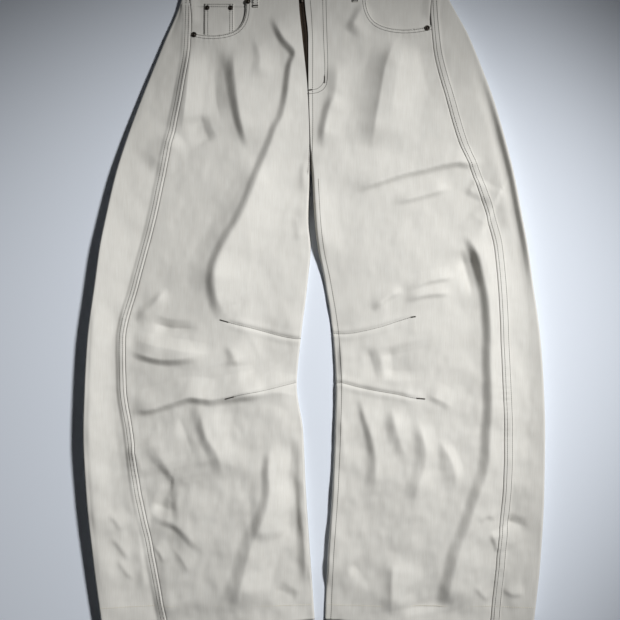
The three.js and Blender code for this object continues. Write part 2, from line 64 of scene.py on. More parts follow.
# down, inner edge, front-side seam, outer edge, height of the front, height of the outer fold
columns = ("down", "inner", "seam", "outer", "plate", "rim")
rightRows = [
    (-40, 17, 187, 196, 13.5, 11),
    (0, 17, 190, 203, 13.5, 11),
    (70, 11, 192, 231, 15, 13),
    (148, 3, 203, 262, 17, 16),
    (228, 0, 220, 291, 17, 20),
    (281, -0.5, 232, 307, 17, 23),
    (354, 1.5, 248, 323, 17, 27),
    (396, -2, 259, 331, 17, 29),
    (449, 2.5, 273, 338, 17, 30),
    (544, 14, 295, 350, 17, 31),
    (615, 20, 294, 354, 17, 31),
    (686, 10, 284, 356, 16, 31),
    (780, 5.5, 271, 352, 16, 29),
    (891, -2, 248, 341, 15, 26),
    (987, -8.5, 230, 329, 14, 23),
]
leftRows = [
    (-40, -8, 191, 209, 14, 14),
    (0, -8, 194, 217, 14, 15),
    (70, -2, 199, 254, 15, 18),
    (148, -1.6, 217, 286, 17, 21),
    (228, 1, 240, 309, 17, 23),
    (281, 4, 262, 322, 17, 25),
    (354, 8, 286, 336, 17, 26),
    (396, 13, 295, 344, 17, 26),
    (449, 24, 300, 352, 17, 26),
    (544, 38, 305, 365, 17, 25),
    (615, 41.5, 308, 370, 17, 24),
    (686, 40, 311, 372, 16, 24),
    (780, 36, 309, 371, 16, 23),
    (891, 28.5, 300, 365, 15, 22),
    (987, 24.5, 291, 355, 14, 21),
]


def legOf(name, side, rows):
    return dict(name=name, side=side, rows=dict(zip(columns, np.array(rows, float).T)))


rightLeg = legOf("right", -1, rightRows)
leftLeg = legOf("left", 1, leftRows)
legs = (rightLeg, leftLeg)

# Each fold is highest along its path. On the right hand of the path it drops over its flank,
# evenly or more sharply at the top, and on the left hand it falls away slowly. A row gives its
# heights and flanks at the start and the end of the path, its fall, and the places of the path.
# A height below nothing is a trough.
foldRows = [
    # the wearer's right leg
    ("thigh", 11.2, 11.2, 10, 20, 30, [(-61, 25), (-42, 65), (-22, 90), (-28, 110), (-31, 132), (-34, 157),
        (-41, 190), (-52, 212), (-61, 237), (-74, 269), (-85, 301), (-96, 329), (-110, 359), (-127, 387),
        (-140, 414), (-146, 439), (-145, 471), (-135, 496), (-122, 508)]),
    ("pocketLine", 11.5, 11.5, 24, 10, 40, [(-124, 76), (-118, 111), (-113, 159), (-107, 196), (-95, 243)]),
    ("pocketLineB", 2.1, 6.4, 8, 20, 18, [(-88, 61), (-77, 97), (-80, 132)]),
    ("hipShort", -6.4, -6.4, 32, 32, 8, [(-173, 184), (-167, 210), (-155, 233)]),
    ("seamStrip", 9.2, 9.2, 12, 32, 15, [(-185, 76), (-190, 123), (-196, 180), (-204, 219)]),
    ("valley", -10.7, -3.6, 32, 32, 18, [(-146, 69), (-151, 115), (-148, 162), (-137, 208)]),
    ("sidePatch", 10.3, 3.4, 32, 32, 18, [(-205, 218), (-230, 247), (-255, 275)]),
    ("kneeSeam", 6.2, 6.2, 8, 20, 10, [(-224, 460), (-249, 491), (-277, 513)]),
    ("crotchA", 1.6, 2.4, 8, 14, 20, [(-23, 343), (-18, 364), (-15, 386)]),
    ("crotchB", 2, 3, 8, 8, 20, [(-6, 254), (-9, 276), (-9, 293), (-14, 309)]),
    ("crotchC", 2, 2, 12, 12, 20, [(-10, 321), (-11, 360), (-14, 400)]),
    ("kneeAcross", 9.6, 5.6, 12, 12, 18, [(-288, 555), (-266, 564), (-228, 572), (-185, 568), (-168, 559)]),
    ("kneeMid", 6.4, 6.4, 32, 32, 10, [(-282, 542), (-246, 550), (-198, 559), (-150, 566)]),
    ("kneeUp", -9, -3, 24, 10, 8, [(-252, 514), (-217, 523), (-173, 523)]),
    ("kneeLower", 11, 11, 10, 17, 18, [(-287, 655), (-269, 653), (-250, 650), (-207, 636), (-186, 631),
        (-156, 634), (-136, 631), (-103, 625), (-63, 617)]),
    ("underDart", 3.2, 9.6, 12, 32, 18, [(-130, 632), (-95, 626), (-54, 624), (-11, 632)]),
    ("dartFan", -4, -12.1, 24, 10, 40, [(-114, 606), (-74, 579), (-25, 551)]),
    ("dartFanB", -3.4, -3.4, 13, 13, 80, [(-79, 570), (-50, 554), (-18, 542)]),
    ("smallB", 2.1, 6.4, 8, 20, 18, [(-131, 548), (-118, 568), (-115, 585)]),
    ("shinOuter", 6.3, 10.8, 16, 20, 26, [(-183, 637), (-169, 665), (-161, 694), (-144, 721), (-135, 764)]),
    ("shinOne", 2.7, 8, 24, 10, 40, [(-257, 687), (-239, 719), (-217, 754), (-211, 779)]),
    ("shinOneB", 9.6, 3.2, 12, 32, 80, [(-283, 703), (-267, 738), (-260, 765)]),
    ("shinTwo", -3.9, -3.9, 12, 32, 18, [(-210, 657), (-193, 697), (-181, 737)]),
    ("shinInner", 9.2, 12.7, 12, 28, 26, [(-58, 704), (-62, 726), (-64, 750), (-62, 776), (-64, 800),
        (-73, 828), (-84, 850), (-94, 876), (-102, 907), (-110, 938), (-114, 973)]),
    ("shinInnerB", -3.7, -3.7, 8, 20, 18, [(-29, 701), (-32, 748), (-39, 788)]),
    ("calf", 8.3, 2.8, 13, 13, 40, [(-256, 818), (-233, 825), (-209, 834), (-186, 855), (-170, 872),
        (-156, 888)]),
    ("calfB", -11.7, -3.9, 12, 32, 40, [(-250, 799), (-227, 810), (-205, 810)]),
    ("calfLow", 1.5, 4.5, 13, 13, 18, [(-222, 865), (-202, 885), (-188, 909)]),
    ("inseamLow", 3.4, 10.4, 13, 13, 80, [(-16, 684), (-17, 747), (-14, 811), (-8, 874), (-6, 937)]),
    ("inseamB", -6.7, -6.7, 32, 32, 8, [(-26, 747), (-23, 811), (-21, 874)]),
    ("acrossLow", 6.6, 2.2, 24, 10, 80, [(-94, 844), (-62, 842), (-28, 840)]),
    ("hemLine", 9.3, 3.1, 32, 32, 80, [(-251, 961), (-211, 954), (-171, 945), (-146, 939)]),
    ("hemDark", -2.2, -6.6, 32, 32, 8, [(-60, 933), (-41, 940), (-20, 956)]),
    # the wearer's left leg
    ("leftMain", 13.8, 13.8, 32, 32, 40, [(138, 65), (128, 90), (118, 117), (110, 161), (102, 208),
        (97, 243)]),
    ("leftMainB", 12.1, 4, 32, 32, 19, [(151, 79), (138, 121), (132, 162), (127, 209)]),
    ("leftTop", 3.4, 10.4, 13, 13, 17, [(88, 16), (77, 40), (62, 63)]),
    ("leftFly", 9.2, 9.2, 13, 13, 18, [(43, 150), (32, 177), (25, 208), (20, 240)]),
    ("leftFlyB", 8, 2.6, 24, 10, 18, [(45, 99), (42, 146), (37, 193)]),
    ("leftSeamStrip", -9.3, -3.1, 12, 32, 40, [(173, 78), (182, 117), (192, 165)]),
    ("hipAcross", 7.2, 10.8, 9, 11, 17, [(65, 310), (83, 301), (115, 290), (148, 279), (180, 272),
        (208, 265), (233, 261), (254, 263), (279, 258)]),
    ("hipSecond", 6.5, 6.5, 9, 9, 14, [(126, 326), (151, 320), (189, 310), (229, 298)]),
    ("seamKink", 4.4, 4.4, 8, 8, 40, [(266, 283), (257, 299), (249, 316)]),
    ("seamPatch", 2.1, 6.2, 32, 32, 80, [(252, 338), (268, 353), (284, 361)]),
    ("seamFold", 15.8, 10.8, 12, 20, 34, [(245, 369), (264, 407), (272, 437), (280, 476), (284, 526),
        (284, 577), (286, 637), (284, 700), (280, 745), (269, 780), (258, 812), (248, 843), (234, 879),
        (224, 922), (212, 973)]),
    ("seamFoldB", -12.1, -4, 20, 20, 18, [(238, 398), (249, 437), (258, 477)]),
    ("kneeA", 5, 5, 8, 8, 10, [(98, 496), (123, 474), (148, 461)]),
    ("kneeB", 5, 5, 8, 8, 10, [(148, 464), (180, 451), (211, 444), (235, 439)]),
    ("kneeC", 5, 5, 8, 8, 10, [(148, 480), (182, 470), (228, 467)]),
    ("dartEnd", 4, 2.9, 10, 12, 14, [(184, 627), (206, 636), (229, 649)]),
    ("betweenA", -3.7, -3.7, 12, 32, 8, [(89, 550), (99, 577), (108, 613)]),
    ("betweenB", -6.4, -6.4, 20, 20, 40, [(126, 549), (132, 575), (132, 608)]),
    ("shinA", 6.4, 6.4, 8, 20, 18, [(78, 627), (89, 666), (102, 708), (105, 755), (104, 795)]),
    ("shinB", 9, 3, 20, 20, 14, [(129, 647), (137, 682), (147, 713), (158, 731)]),
    ("shinC", 7.6, 7.6, 20, 20, 12, [(167, 654), (176, 685), (184, 719), (179, 752), (168, 781),
        (165, 808)]),
    ("shinD", 5.1, 5.1, 12, 32, 8, [(200, 695), (216, 717), (229, 746), (232, 779)]),
    ("shinE", 6.4, 2.1, 8, 20, 18, [(47, 636), (53, 699), (56, 763)]),
    ("lowA", 4.3, 12.8, 20, 20, 40, [(135, 875), (130, 914), (129, 953), (129, 978)]),
    ("lowC", -6.9, -2.3, 12, 32, 40, [(64, 890), (83, 913), (99, 940)]),
    ("lowE", -2.6, -7.9, 32, 32, 40, [(155, 925), (168, 949), (173, 974)]),
    ("sideA", -6.6, -2.2, 24, 10, 8, [(307, 824), (327, 833), (347, 836)]),
    ("sideB", 5.9, 2, 8, 8, 40, [(287, 842), (295, 863), (302, 880)]),
    ("innerLeft", 6.4, 2.2, 8, 8, 18, [(50, 542), (51, 589), (53, 637)]),
    ("innerLeftUp", 6.7, 6.7, 32, 32, 18, [(12, 290), (16, 353), (31, 418)]),
    # shades, edges and small knots on both legs
    ("thighShade", 6, 8.5, 34, 44, 26, [(-75, 251), (-96, 311), (-116, 359), (-140, 403), (-152, 441),
        (-151, 479)]),
    ("outerLip", 4.6, 5, 8, 8, 16, [(-334, 472), (-340, 542), (-344, 637), (-344, 716), (-339, 795),
        (-331, 890), (-323, 959)]),
    ("outerValley", 4.2, 4.2, 16, 18, 12, [(-292, 466), (-296, 526), (-298, 605), (-292, 684), (-282, 763),
        (-269, 858), (-258, 953)]),
    ("footA", 3, 2.6, 8, 9, 12, [(-317, 812), (-304, 825), (-293, 844)]),
    ("footB", 2.8, 3, 9, 9, 12, [(-312, 848), (-296, 869), (-282, 891)]),
    ("footC", 2.6, 3, 8, 9, 12, [(-303, 883), (-287, 907), (-273, 920)]),
    ("footD", 2.4, 2.8, 7, 8, 10, [(-249, 866), (-236, 877), (-228, 894)]),
    ("leftHemA", 3, 2.6, 8, 9, 12, [(260, 924), (273, 940), (287, 953)]),
    ("leftHemB", 2.8, 3, 8, 9, 12, [(304, 929), (320, 940), (340, 937)]),
    ("leftKnot", 3, 2.8, 8, 8, 12, [(263, 828), (279, 817), (296, 823)]),
]
sharpFolds = {"valley", "shinTwo", "shinInnerB", "calfB", "calfLow", "inseamLow", "leftMain", "seamKink",
              "seamPatch", "seamFoldB", "lowA", "sideA", "innerLeft"}
folds = [dict(name=name, height=(high, highEnd), flank=(flank, flankEnd), fall=fall, path=path,
              sharp=name in sharpFolds)
         for name, high, highEnd, flank, flankEnd, fall, path in foldRows]
foldFade = dict(waist=25, ends=0.32, longest=45, sharp=1.6, tail=0.36, tailLong=3.6,
                fallLong=1.8, fallPower=1.3, fallReach=2.4)

# Knee darts: each is sewn from the inseam to its point
darts = [
    dict(name="rightUpper", path=[(-15, 540), (-23, 540), (-45, 536), (-71, 529), (-96, 522),
                                  (-121, 516), (-141, 510)]),
    dict(name="rightLower", path=[(-23, 610), (-48, 616), (-74, 622), (-105, 627), (-132, 634)]),
    dict(name="leftUpper", path=[(37, 532), (62, 532), (90, 527), (120, 519), (141, 512),
                                 (160, 506), (167, 505)]),
    dict(name="leftLower", path=[(42, 611), (52, 610), (79, 617), (109, 623), (139, 628),
                                 (162, 633), (182, 635)]),
]
dartSize = dict(depth=1.5, width=2.2, puff=0.8, puffAt=6, puffWide=5, reach=30, point=0.25)


def softPath(path, step=6.0):
    # a smooth curve through the points of a path
    p = np.array(path, float)
    if len(p) < 3:
        return p
    ends = np.vstack([2 * p[0] - p[1], p, 2 * p[-1] - p[-2]])
    points = []
    for a, b, c, d in zip(ends[:-3], ends[1:-2], ends[2:-1], ends[3:]):
        count = max(2, int(np.hypot(*(c - b)) / step))
        for t in np.linspace(0, 1, count, endpoint=False):
            points.append(0.5 * (2 * b + (c - a) * t + (2 * a - 5 * b + 4 * c - d) * t * t
                                 + (3 * b - a - 3 * c + d) * t ** 3))
    return np.array(points + [p[-1]])


for crease in folds + darts:
    crease["curve"] = softPath(crease["path"])
    long = np.hypot(*np.diff(crease["curve"], axis=0).T).sum()
    crease["fade"] = min(foldFade["ends"], foldFade["longest"] / long)


def smooth(t):
    t = np.clip(t, 0, 1)
    return t * t * (3 - 2 * t)


def mix(a, b, t):
    return a + (b - a) * t


def along(leg, column, down):
    # a curve through a column of the leg's table that never overshoots it
    downs, values = leg["rows"]["down"], leg["rows"][column]
    slopes = np.diff(values) / np.diff(downs)
    turns = slopes[:-1] * slopes[1:]
    sums = np.where(turns > 0, slopes[:-1] + slopes[1:], 1)
    tangents = np.concatenate([slopes[:1], np.where(turns > 0, 2 * turns / sums, 0), slopes[-1:]])
    at = np.clip(np.searchsorted(downs, down, side="right") - 1, 0, len(downs) - 2)
    span = downs[at + 1] - downs[at]
    t = np.clip((down - downs[at]) / span, 0, 1)
    return (values[at] * (1 + 2 * t) * (1 - t) ** 2 + values[at + 1] * t * t * (3 - 2 * t)
            + span * t * (1 - t) * (tangents[at] * (1 - t) - tangents[at + 1] * t))


def sectionAt(leg, down):
    s = {c: along(leg, c, down) for c in columns[1:]}
    s["crest"] = s["outer"] - lie["outerRound"]
    lapped = smooth((down - seamRelief["lapFrom"]) / seamRelief["lapLong"])
    s["edge"] = s["seam"] - seamRelief["lap"][leg["name"]] * lapped
    return s


def backHeight(down):
    span = lie["backLiftTo"] - lie["backLiftFrom"]
    return lie["backLift"] * (1 - smooth((down - lie["backLiftFrom"]) / span))


def legShare(down):
    return smooth((down - lie["crotchStart"]) / (lie["crotchEnd"] - lie["crotchStart"]))


def besidePath(path, x, down):
    # signed distance to a path, positive on its left hand, and the share of its length there
    path = np.array(path, float)
    longs = np.hypot(*(path[1:] - path[:-1]).T)
    before = np.concatenate([[0], np.cumsum(longs)])
    best = np.full(np.shape(x), np.inf)
    offset, share = np.zeros_like(best), np.zeros_like(best)
    for (ax, ad), (bx, bd), long, start in zip(path[:-1], path[1:], longs, before):
        ux, ud = (bx - ax) / long, (bd - ad) / long
        t = np.clip((x - ax) * ux + (down - ad) * ud, 0, long)
        far = np.hypot(x - ax - ux * t, down - ad - ud * t)
        hand = np.sign((x - ax) * ud - (down - ad) * ux)
        near = far < best
        best = np.where(near, far, best)
        offset = np.where(near, hand * far, offset)
        share = np.where(near, (start + t) / before[-1], share)
    return offset, share


def nearCurve(curve, x, down, reach):
    low, high = curve.min(0) - reach, curve.max(0) + reach
    return (x > low[0]) & (x < high[0]) & (down > low[1]) & (down < high[1])


def foldHeight(x, down):
    total = np.zeros(np.shape(x))
    for f in folds:
        reach = max(foldFade["fallReach"] * f["fall"], foldFade["tailLong"] * max(f["flank"]))
        near = nearCurve(f["curve"], x, down, reach)
        if not near.any():
            continue
        offset, share = besidePath(f["curve"], x[near], down[near])
        ends = smooth(share / f["fade"]) * smooth((1 - share) / f["fade"])
        away = -offset / mix(*f["flank"], share)
        flank = np.clip(1 - away, 0, 1)
        flank = flank ** foldFade["sharp"] if f["sharp"] else smooth(flank)
        tail = np.clip(1 - away / foldFade["tailLong"], 0, 1) ** 2
        flank = mix(flank, tail, foldFade["tail"])
        fall = np.clip(1 - offset / (foldFade["fallLong"] * f["fall"]), 0, 1) ** foldFade["fallPower"]
        total[near] += ends * mix(*f["height"], share) * np.where(offset > 0, fall, flank)
    return total * smooth(down / foldFade["waist"])


def dartHeight(x, down):
    total = np.zeros(np.shape(x))
    for f in darts:
        near = nearCurve(f["curve"], x, down, dartSize["reach"])
        if not near.any():
            continue
        offset, share = besidePath(f["curve"], x[near], down[near])
        groove = dartSize["depth"] * np.exp(-(offset / dartSize["width"]) ** 2)
        beside = (abs(offset) - dartSize["puffAt"]) / dartSize["puffWide"]
        puff = dartSize["puff"] * np.exp(-beside ** 2)
        total[near] += smooth((1 - share) / dartSize["point"]) * (puff - groove)
    return total


# Small uneven waves of cloth that has been handled: a few long sines that cross
crumple = dict(seed=11, waves=34, shortest=13, longest=170, height=0.125, usual=60, power=1.1,
               bend=1.3, low=1.8, lowFrom=500, lowLong=200)
waveSource = np.random.default_rng(crumple["seed"])
waveLengths = np.exp(waveSource.uniform(np.log(crumple["shortest"]), np.log(crumple["longest"]),
                                        crumple["waves"]))
waveTurns = waveSource.uniform(0, math.pi, crumple["waves"])
waveStarts = waveSource.uniform(0, 2 * math.pi, crumple["waves"])


def crumpleHeight(x, down):
    total = np.zeros(np.shape(x))
    for size, turn, start in zip(waveLengths, waveTurns, waveStarts):
        straight = (x * math.cos(turn) + down * math.sin(turn)) * 2 * math.pi / size + start
        across = (x * math.sin(turn) - down * math.cos(turn)) * 2.1 / size
        bend = crumple["bend"] * np.sin(across + start * 3)
        high = crumple["height"] * (size / crumple["usual"]) ** crumple["power"]
        total += high * np.sin(straight + bend)
    return total * mix(1, crumple["low"], smooth((down - crumple["lowFrom"]) / crumple["lowLong"]))


def puckerWave(run, start=0.0, size=9.0):
    slow = 0.55 + 0.45 * np.sin(run / 37.0 + start)
    return slow * np.sin(run * 2 * math.pi / size + start + 2.2 * np.sin(run / 23.0 + start))


def seamHeight(leg, x, down, s):
    beyond = leg["side"] * x - s["edge"]  # positive on the side panel
    plateau = smooth((beyond + 0.5) / 1.2) * (1 - smooth((beyond - seamRelief["wide"]) / 5))
    ditch = seamRelief["ditch"] * np.exp(-(beyond / seamRelief["ditchWidth"]) ** 2)
    wave = seamRelief["pucker"] * puckerWave(down, 1.7 + leg["side"])
    wave = wave * np.exp(-((beyond - 5) / seamRelief["puckerWide"]) ** 2)
    return seamRelief["rise"] * plateau - ditch + wave


def lipHeight(beyond, down):
    there = smooth((down - lip["top"]) / lip["fade"]) * smooth((lip["bottom"] - down) / lip["fade"])
    up = lip["height"] * smooth((beyond + lip["inside"]) / (lip["inside"] - 4))
    hollow = lip["hollow"] * np.exp(-((beyond + lip["inside"] + 3) / 7) ** 2)
    return there * (up - hollow)


def frontHeight(leg, x, down):
    s = sectionAt(leg, down)
    start = s["seam"] - lie["riseStart"][leg["name"]]
    rise = np.clip((leg["side"] * x - start) / (s["crest"] - start), 0, 1)
    level = mix(s["plate"], s["rim"], rise ** lie["risePower"][leg["name"]])
    level = level + foldHeight(x, down) * (1 - rise ** 6)
    fromInner = np.clip((leg["side"] * x - s["inner"]) / lie["rampWidth"][leg["name"]], 0, 1)
    apart = smooth((down - lie["rampFrom"][leg["name"]]) / lie["rampLong"])
    level = level - apart * (1 - fromInner) * (s["plate"] - lie["inseamEdge"])
    fromSeam = np.clip((start - leg["side"] * x) / lie["sinkReach"], 0, 1)
    sink = lie["seamSink"][leg["name"]] * smooth((down - lie["sinkFrom"]) / lie["sinkLong"])
    level = level - sink * (1 - fromSeam) * (1 - rise)
    soft = lie["softFloor"]
    onLeg = smooth((down - lie["lowestFrom"]) / lie["lowestLong"])
    low = mix(cloth["lowest"], cloth["lowestOnLeg"], onLeg)
    spare = level - low - soft
    level = np.where(spare > 0, level, low + soft * np.exp(np.minimum(0, spare / soft)))
    fine = dartHeight(x, down) + seamHeight(leg, x, down, s)
    if leg is leftLeg:
        fine = fine + lipHeight(x - s["outer"], down)
    return level + fine + crumpleHeight(x, down) * smooth((down + 10) / 60) * (1 - rise ** 6)


def placeAt(x, down, level):
    left = smooth((x - lie["askewFrom"]) / (lie["askewTo"] - lie["askewFrom"]))
    lift = lie["askew"] * left * (1 - smooth(down / lie["askewFades"]))
    x, y, level = np.broadcast_arrays(x + shift["x"], lift - down + shift["y"], level)
    return np.stack([x, y, level], axis=-1) * mm


def onFront(leg, x, down, proud=0.0, height=frontHeight):
    # places that stand proud of the front's face, and the way out of the cloth there
    x, down = np.broadcast_arrays(np.asarray(x, float), np.asarray(down, float))
    d = 0.8
    dx = (height(leg, x + d, down) - height(leg, x - d, down)) / (2 * d)
    dy = (height(leg, x, down - d) - height(leg, x, down + d)) / (2 * d)
    out = np.stack([-dx, -dy, np.ones_like(dx)], axis=-1)
    out /= np.linalg.norm(out, axis=-1, keepdims=True)
    proud = np.broadcast_to(np.asarray(proud, float), x.shape)[..., None] * mm
    return placeAt(x, down, height(leg, x, down)) + out * proud, out


def runs(*parts, closed=True):
    # even steps from each start to its end, in so many places; the last end is left out if open
    steps = [np.linspace(a, b, count, endpoint=False) for a, b, count in parts[:-1]]
    return np.concatenate(steps + [np.linspace(*parts[-1], endpoint=closed)])


def gridOut(p):
    # the way out of a grid of points whose rows go down and whose columns turn to the right
    n = np.cross(np.gradient(p, axis=0), np.gradient(p, axis=1))
    size = np.linalg.norm(n, axis=-1, keepdims=True)
    return n / np.where(size > 0, size, 1)


def addObject(name, data):
    item = bpy.data.objects.new(name, data)
    bpy.context.scene.collection.objects.link(item)
    return item


def clothPiece(name, points, thick, cut, material, keep=None, flip=False):
    # a wall of cloth: points are its outer face in metres, thick goes inwards in millimetres,
    # cut is each point's place on the flat cloth, and keep says which cells there are
    rows, cols = points.shape[:2]
    thick = np.broadcast_to(np.asarray(thick, float), (rows, cols))
    keep = np.ones((rows - 1, cols - 1), bool) if keep is None else keep
    if flip:
        points, thick, cut, keep = points[:, ::-1], thick[:, ::-1], cut[:, ::-1], keep[:, ::-1]
    inner = points - gridOut(points) * thick[..., None] * mm
    ids = np.arange(rows * cols).reshape(rows, cols)
    corners = (ids[:-1, :-1], ids[1:, :-1], ids[1:, 1:], ids[:-1, 1:])
    top = np.stack([c[keep] for c in corners], axis=1)
    count = rows * cols
    edges = np.concatenate([np.stack([top[:, k], top[:, (k + 1) % 4]], axis=1) for k in range(4)])
    there = edges[:, 0] * count + edges[:, 1]
    back = edges[:, 1] * count + edges[:, 0]
    rim = edges[~np.isin(there, back)]
    rim = np.stack([rim[:, 1], rim[:, 0], rim[:, 0] + count, rim[:, 1] + count], axis=1)
    faces = np.concatenate([top, top[:, ::-1] + count, rim])
    used, packed = np.unique(faces, return_inverse=True)
    faces = packed.reshape(-1, 4)
    mesh = bpy.data.meshes.new(name)
    mesh.vertices.add(len(used))
    both = np.concatenate([points.reshape(-1, 3), inner.reshape(-1, 3)])[used]
    mesh.vertices.foreach_set("co", both.astype(np.float32).ravel())
    mesh.loops.add(faces.size)
    mesh.loops.foreach_set("vertex_index", faces.astype(np.int32).ravel())
    mesh.polygons.add(len(faces))
    mesh.polygons.foreach_set("loop_start", np.arange(0, faces.size, 4, dtype=np.int32))
    mesh.polygons.foreach_set("use_smooth", np.arange(len(faces)) < 2 * len(top))
    flat = np.concatenate([cut.reshape(-1, 2), cut.reshape(-1, 2)])[used] * mm
    layer = mesh.uv_layers.new(name="cut")
    layer.data.foreach_set("uv", flat[faces.ravel()].astype(np.float32).ravel())
    mesh.update(calc_edges=True)
    mesh.validate()
    mesh.materials.append(material)
    return addObject(name, mesh)


class Value:
    # a socket that ordinary arithmetic works on
    def __init__(self, tree, socket):
        self.tree, self.socket = tree, socket

    def math(self, operation, other=None, clamp=False):
        node = self.tree.nodes.new("ShaderNodeMath")
        node.operation, node.use_clamp = operation, clamp
        for slot, item in zip(node.inputs, (self, other)):
            if isinstance(item, Value):
                self.tree.links.new(item.socket, slot)
            elif item is not None:
                slot.default_value = item
        return Value(self.tree, node.outputs[0])

    def __add__(self, other): return self.math("ADD", other)
    def __sub__(self, other): return self.math("SUBTRACT", other)
    def __mul__(self, other): return self.math("MULTIPLY", other)
    def clamped(self): return self.math("ADD", 0.0, clamp=True)
    def sine(self): return self.math("SINE")
    def output(self, name): return Value(self.tree, self.socket.node.outputs[name])


class Nodes:
    # a tree of shader or geometry nodes
    def __init__(self, tree):
        self.tree = tree

    def node(self, kind, settings=None, inputs=None, out=0):
        node = self.tree.nodes.new(kind)
        for name, value in (settings or {}).items():
            setattr(node, name, value)
        for name, values in (inputs or {}).items():
            for value in values if isinstance(values, list) else [values]:
                if isinstance(value, Value):
                    self.tree.links.new(value.socket, node.inputs[name])
                else:
                    node.inputs[name].default_value = value
        return Value(self.tree, node.outputs[out] if node.outputs else None)


def shader(name):
    material = bpy.data.materials.new(name)
    material.use_nodes = True
    material.node_tree.nodes.clear()
    return material, Nodes(material.node_tree)


def screen(r, g, b):
    # a colour as a screen shows it, 0 to 255, made linear
    return tuple(((v / 255 + 0.055) / 1.055) ** 2.4 for v in (r, g, b)) + (1.0,)


denimLook = dict(light=screen(223, 222, 217), warm=screen(209, 206, 199), roughness=0.88,
                 twill=0.95, relief=0.05, streak=1.5, streakLength=28)


def denim(name, look):
    material, s = shader(name)
    cut = s.node("ShaderNodeUVMap", {"uv_map": "cut"})
    across = s.node("ShaderNodeSeparateXYZ", inputs={0: cut})
    down = across.output("Y")

    def speckle(scale, detail):
        return s.node("ShaderNodeTexNoise", {"noise_dimensions": "3D"},
                      {"Vector": cut, "Scale": scale, "Detail": detail, "Roughness": 0.6})

    twill = ((across * 0.82 + down * 0.57) * (2 * math.pi / (look["twill"] * mm))).sine()
    yarn, slub, cloud = speckle(900.0, 2.0), speckle(60.0, 4.0), speckle(7.0, 3.0)
    thin = s.node("ShaderNodeCombineXYZ", None,
                  {"X": across * (1000 / look["streak"]), "Y": down * (1000 / look["streakLength"])})
    warp = s.node("ShaderNodeTexNoise", {"noise_dimensions": "2D"}, {"Vector": thin, "Scale": 1.0})
    tone = (twill * 0.06 + (yarn - 0.5) * 0.25 + (slub - 0.5) * 0.3 + (cloud - 0.5) * 0.3
            + (warp - 0.5) * 0.9 + 0.4)
    colour = s.node("ShaderNodeMix", {"data_type": "RGBA"},
                    {0: tone.clamped(), 6: look["light"], 7: look["warm"]}, out=2)
    height = twill * 0.5 + yarn * 0.7 + slub * 0.5
    bump = s.node("ShaderNodeBump", None,
                  {"Height": height, "Strength": 0.55, "Distance": look["relief"] * mm})
    surface = s.node("ShaderNodeBsdfPrincipled", None,
                     {"Base Color": colour, "Roughness": yarn * 0.08 + (look["roughness"] - 0.04),
                      "Normal": bump})
    s.node("ShaderNodeOutputMaterial", None, {"Surface": surface})
    return material


def grained(name, colour, roughness, metallic=0.0, grain=0.1, scale=500.0):
    material, s = shader(name)
    place = s.node("ShaderNodeTexCoord", out=3)
    noise = s.node("ShaderNodeTexNoise", {"noise_dimensions": "3D"},
                   {"Vector": place, "Scale": scale, "Detail": 3.0, "Roughness": 0.6})
    dark = tuple(c * (1 - 2 * grain) for c in colour[:3]) + (1.0,)
    tint = s.node("ShaderNodeMix", {"data_type": "RGBA"}, {0: noise, 6: dark, 7: colour}, out=2)
    bump = s.node("ShaderNodeBump", None, {"Height": noise, "Strength": 0.3, "Distance": 0.05 * mm})
    surface = s.node("ShaderNodeBsdfPrincipled", None,
                     {"Base Color": tint, "Roughness": noise * 0.15 + (roughness - 0.07),
                      "Metallic": metallic, "Normal": bump})
    s.node("ShaderNodeOutputMaterial", None, {"Surface": surface})
    return material


ecruDenim = denim("ecruDenim", denimLook)
darkThread = grained("darkThread", screen(62, 57, 50), 0.7, grain=0.15, scale=900.0)
paleThread = grained("paleThread", screen(222, 216, 198), 0.75, grain=0.08, scale=900.0)
antiqueMetal = grained("antiqueMetal", screen(74, 68, 62), 0.42, metallic=0.85, grain=0.3)
# the zip tape: a real tape, and its dark brown is also painted shade for the gap beside the fly's edge
tapeAndGapShade = grained("tapeAndGapShade", screen(58, 44, 30), 0.9, grain=0.2)
print("materials ready")


def sewOn(piece, nodes, threads=()):
    # hands a finished piece over: hides the parts of the frame that it stands for, and hangs it on the root
    if nodes:
        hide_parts(*nodes)
    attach(piece, "root")


# The threads that are sewn through each piece: rows of places on the cloth and its way out
threadRows = {}


def sew(where, points, out, kind="plain"):
    threadRows.setdefault(where, []).append(dict(points=points, out=out, kind=kind))


# How finely the panels are divided, in millimetres down the leg, and how far from the panels the
# small pieces lie on the flat cloth, so that its grain is another there
grid = dict(row=2.9, kneeRow=1.8, kneeFrom=500, kneeTo=640, hemFold=14)
cutAway = dict(patch=400, fly=700, loop=900)


def rowDowns(coarser=1):
    top, hem = halfGap, length["toHem"]
    parts = [(top, grid["kneeFrom"], grid["row"]), (grid["kneeFrom"], grid["kneeTo"], grid["kneeRow"]),
             (grid["kneeTo"], hem, grid["row"])]
    parts = [(a, b, int((b - a) / (step * coarser))) for a, b, step in parts]
    return runs(*parts, (hem, hem, 1))[:, None]


def hemSag(down, share):
    long = length["toHem"] - lie["sagFrom"]
    return lie["hemSag"] * np.sin(math.pi * share) * smooth((down - lie["sagFrom"]) / long)


def hemThick(down):
    # the hem is folded up inside, so its last stretch is thicker
    return mix(cloth["wall"], cloth["hem"], smooth((down - (length["toHem"] - grid["hemFold"])) / 3))


# Pocket mouths: the curve that is cut out of each front, and its turned and stitched edge
mouths = dict(right=dict(width=90, depth=62, climb=8, power=3.6),
              left=dict(width=106, depth=59, climb=8, power=3.6))
mouthEdge = dict(rise=0.5, wide=9, fade=4, roll=0.45, rollWide=1.3, pucker=0.22, puckerAt=5,
                 puckerWide=6, long=150, reach=16, firstRow=2.0, secondRow=6.0)


def mouthSeam(leg):
    return float(along(leg, "seam", np.array(30.0)))


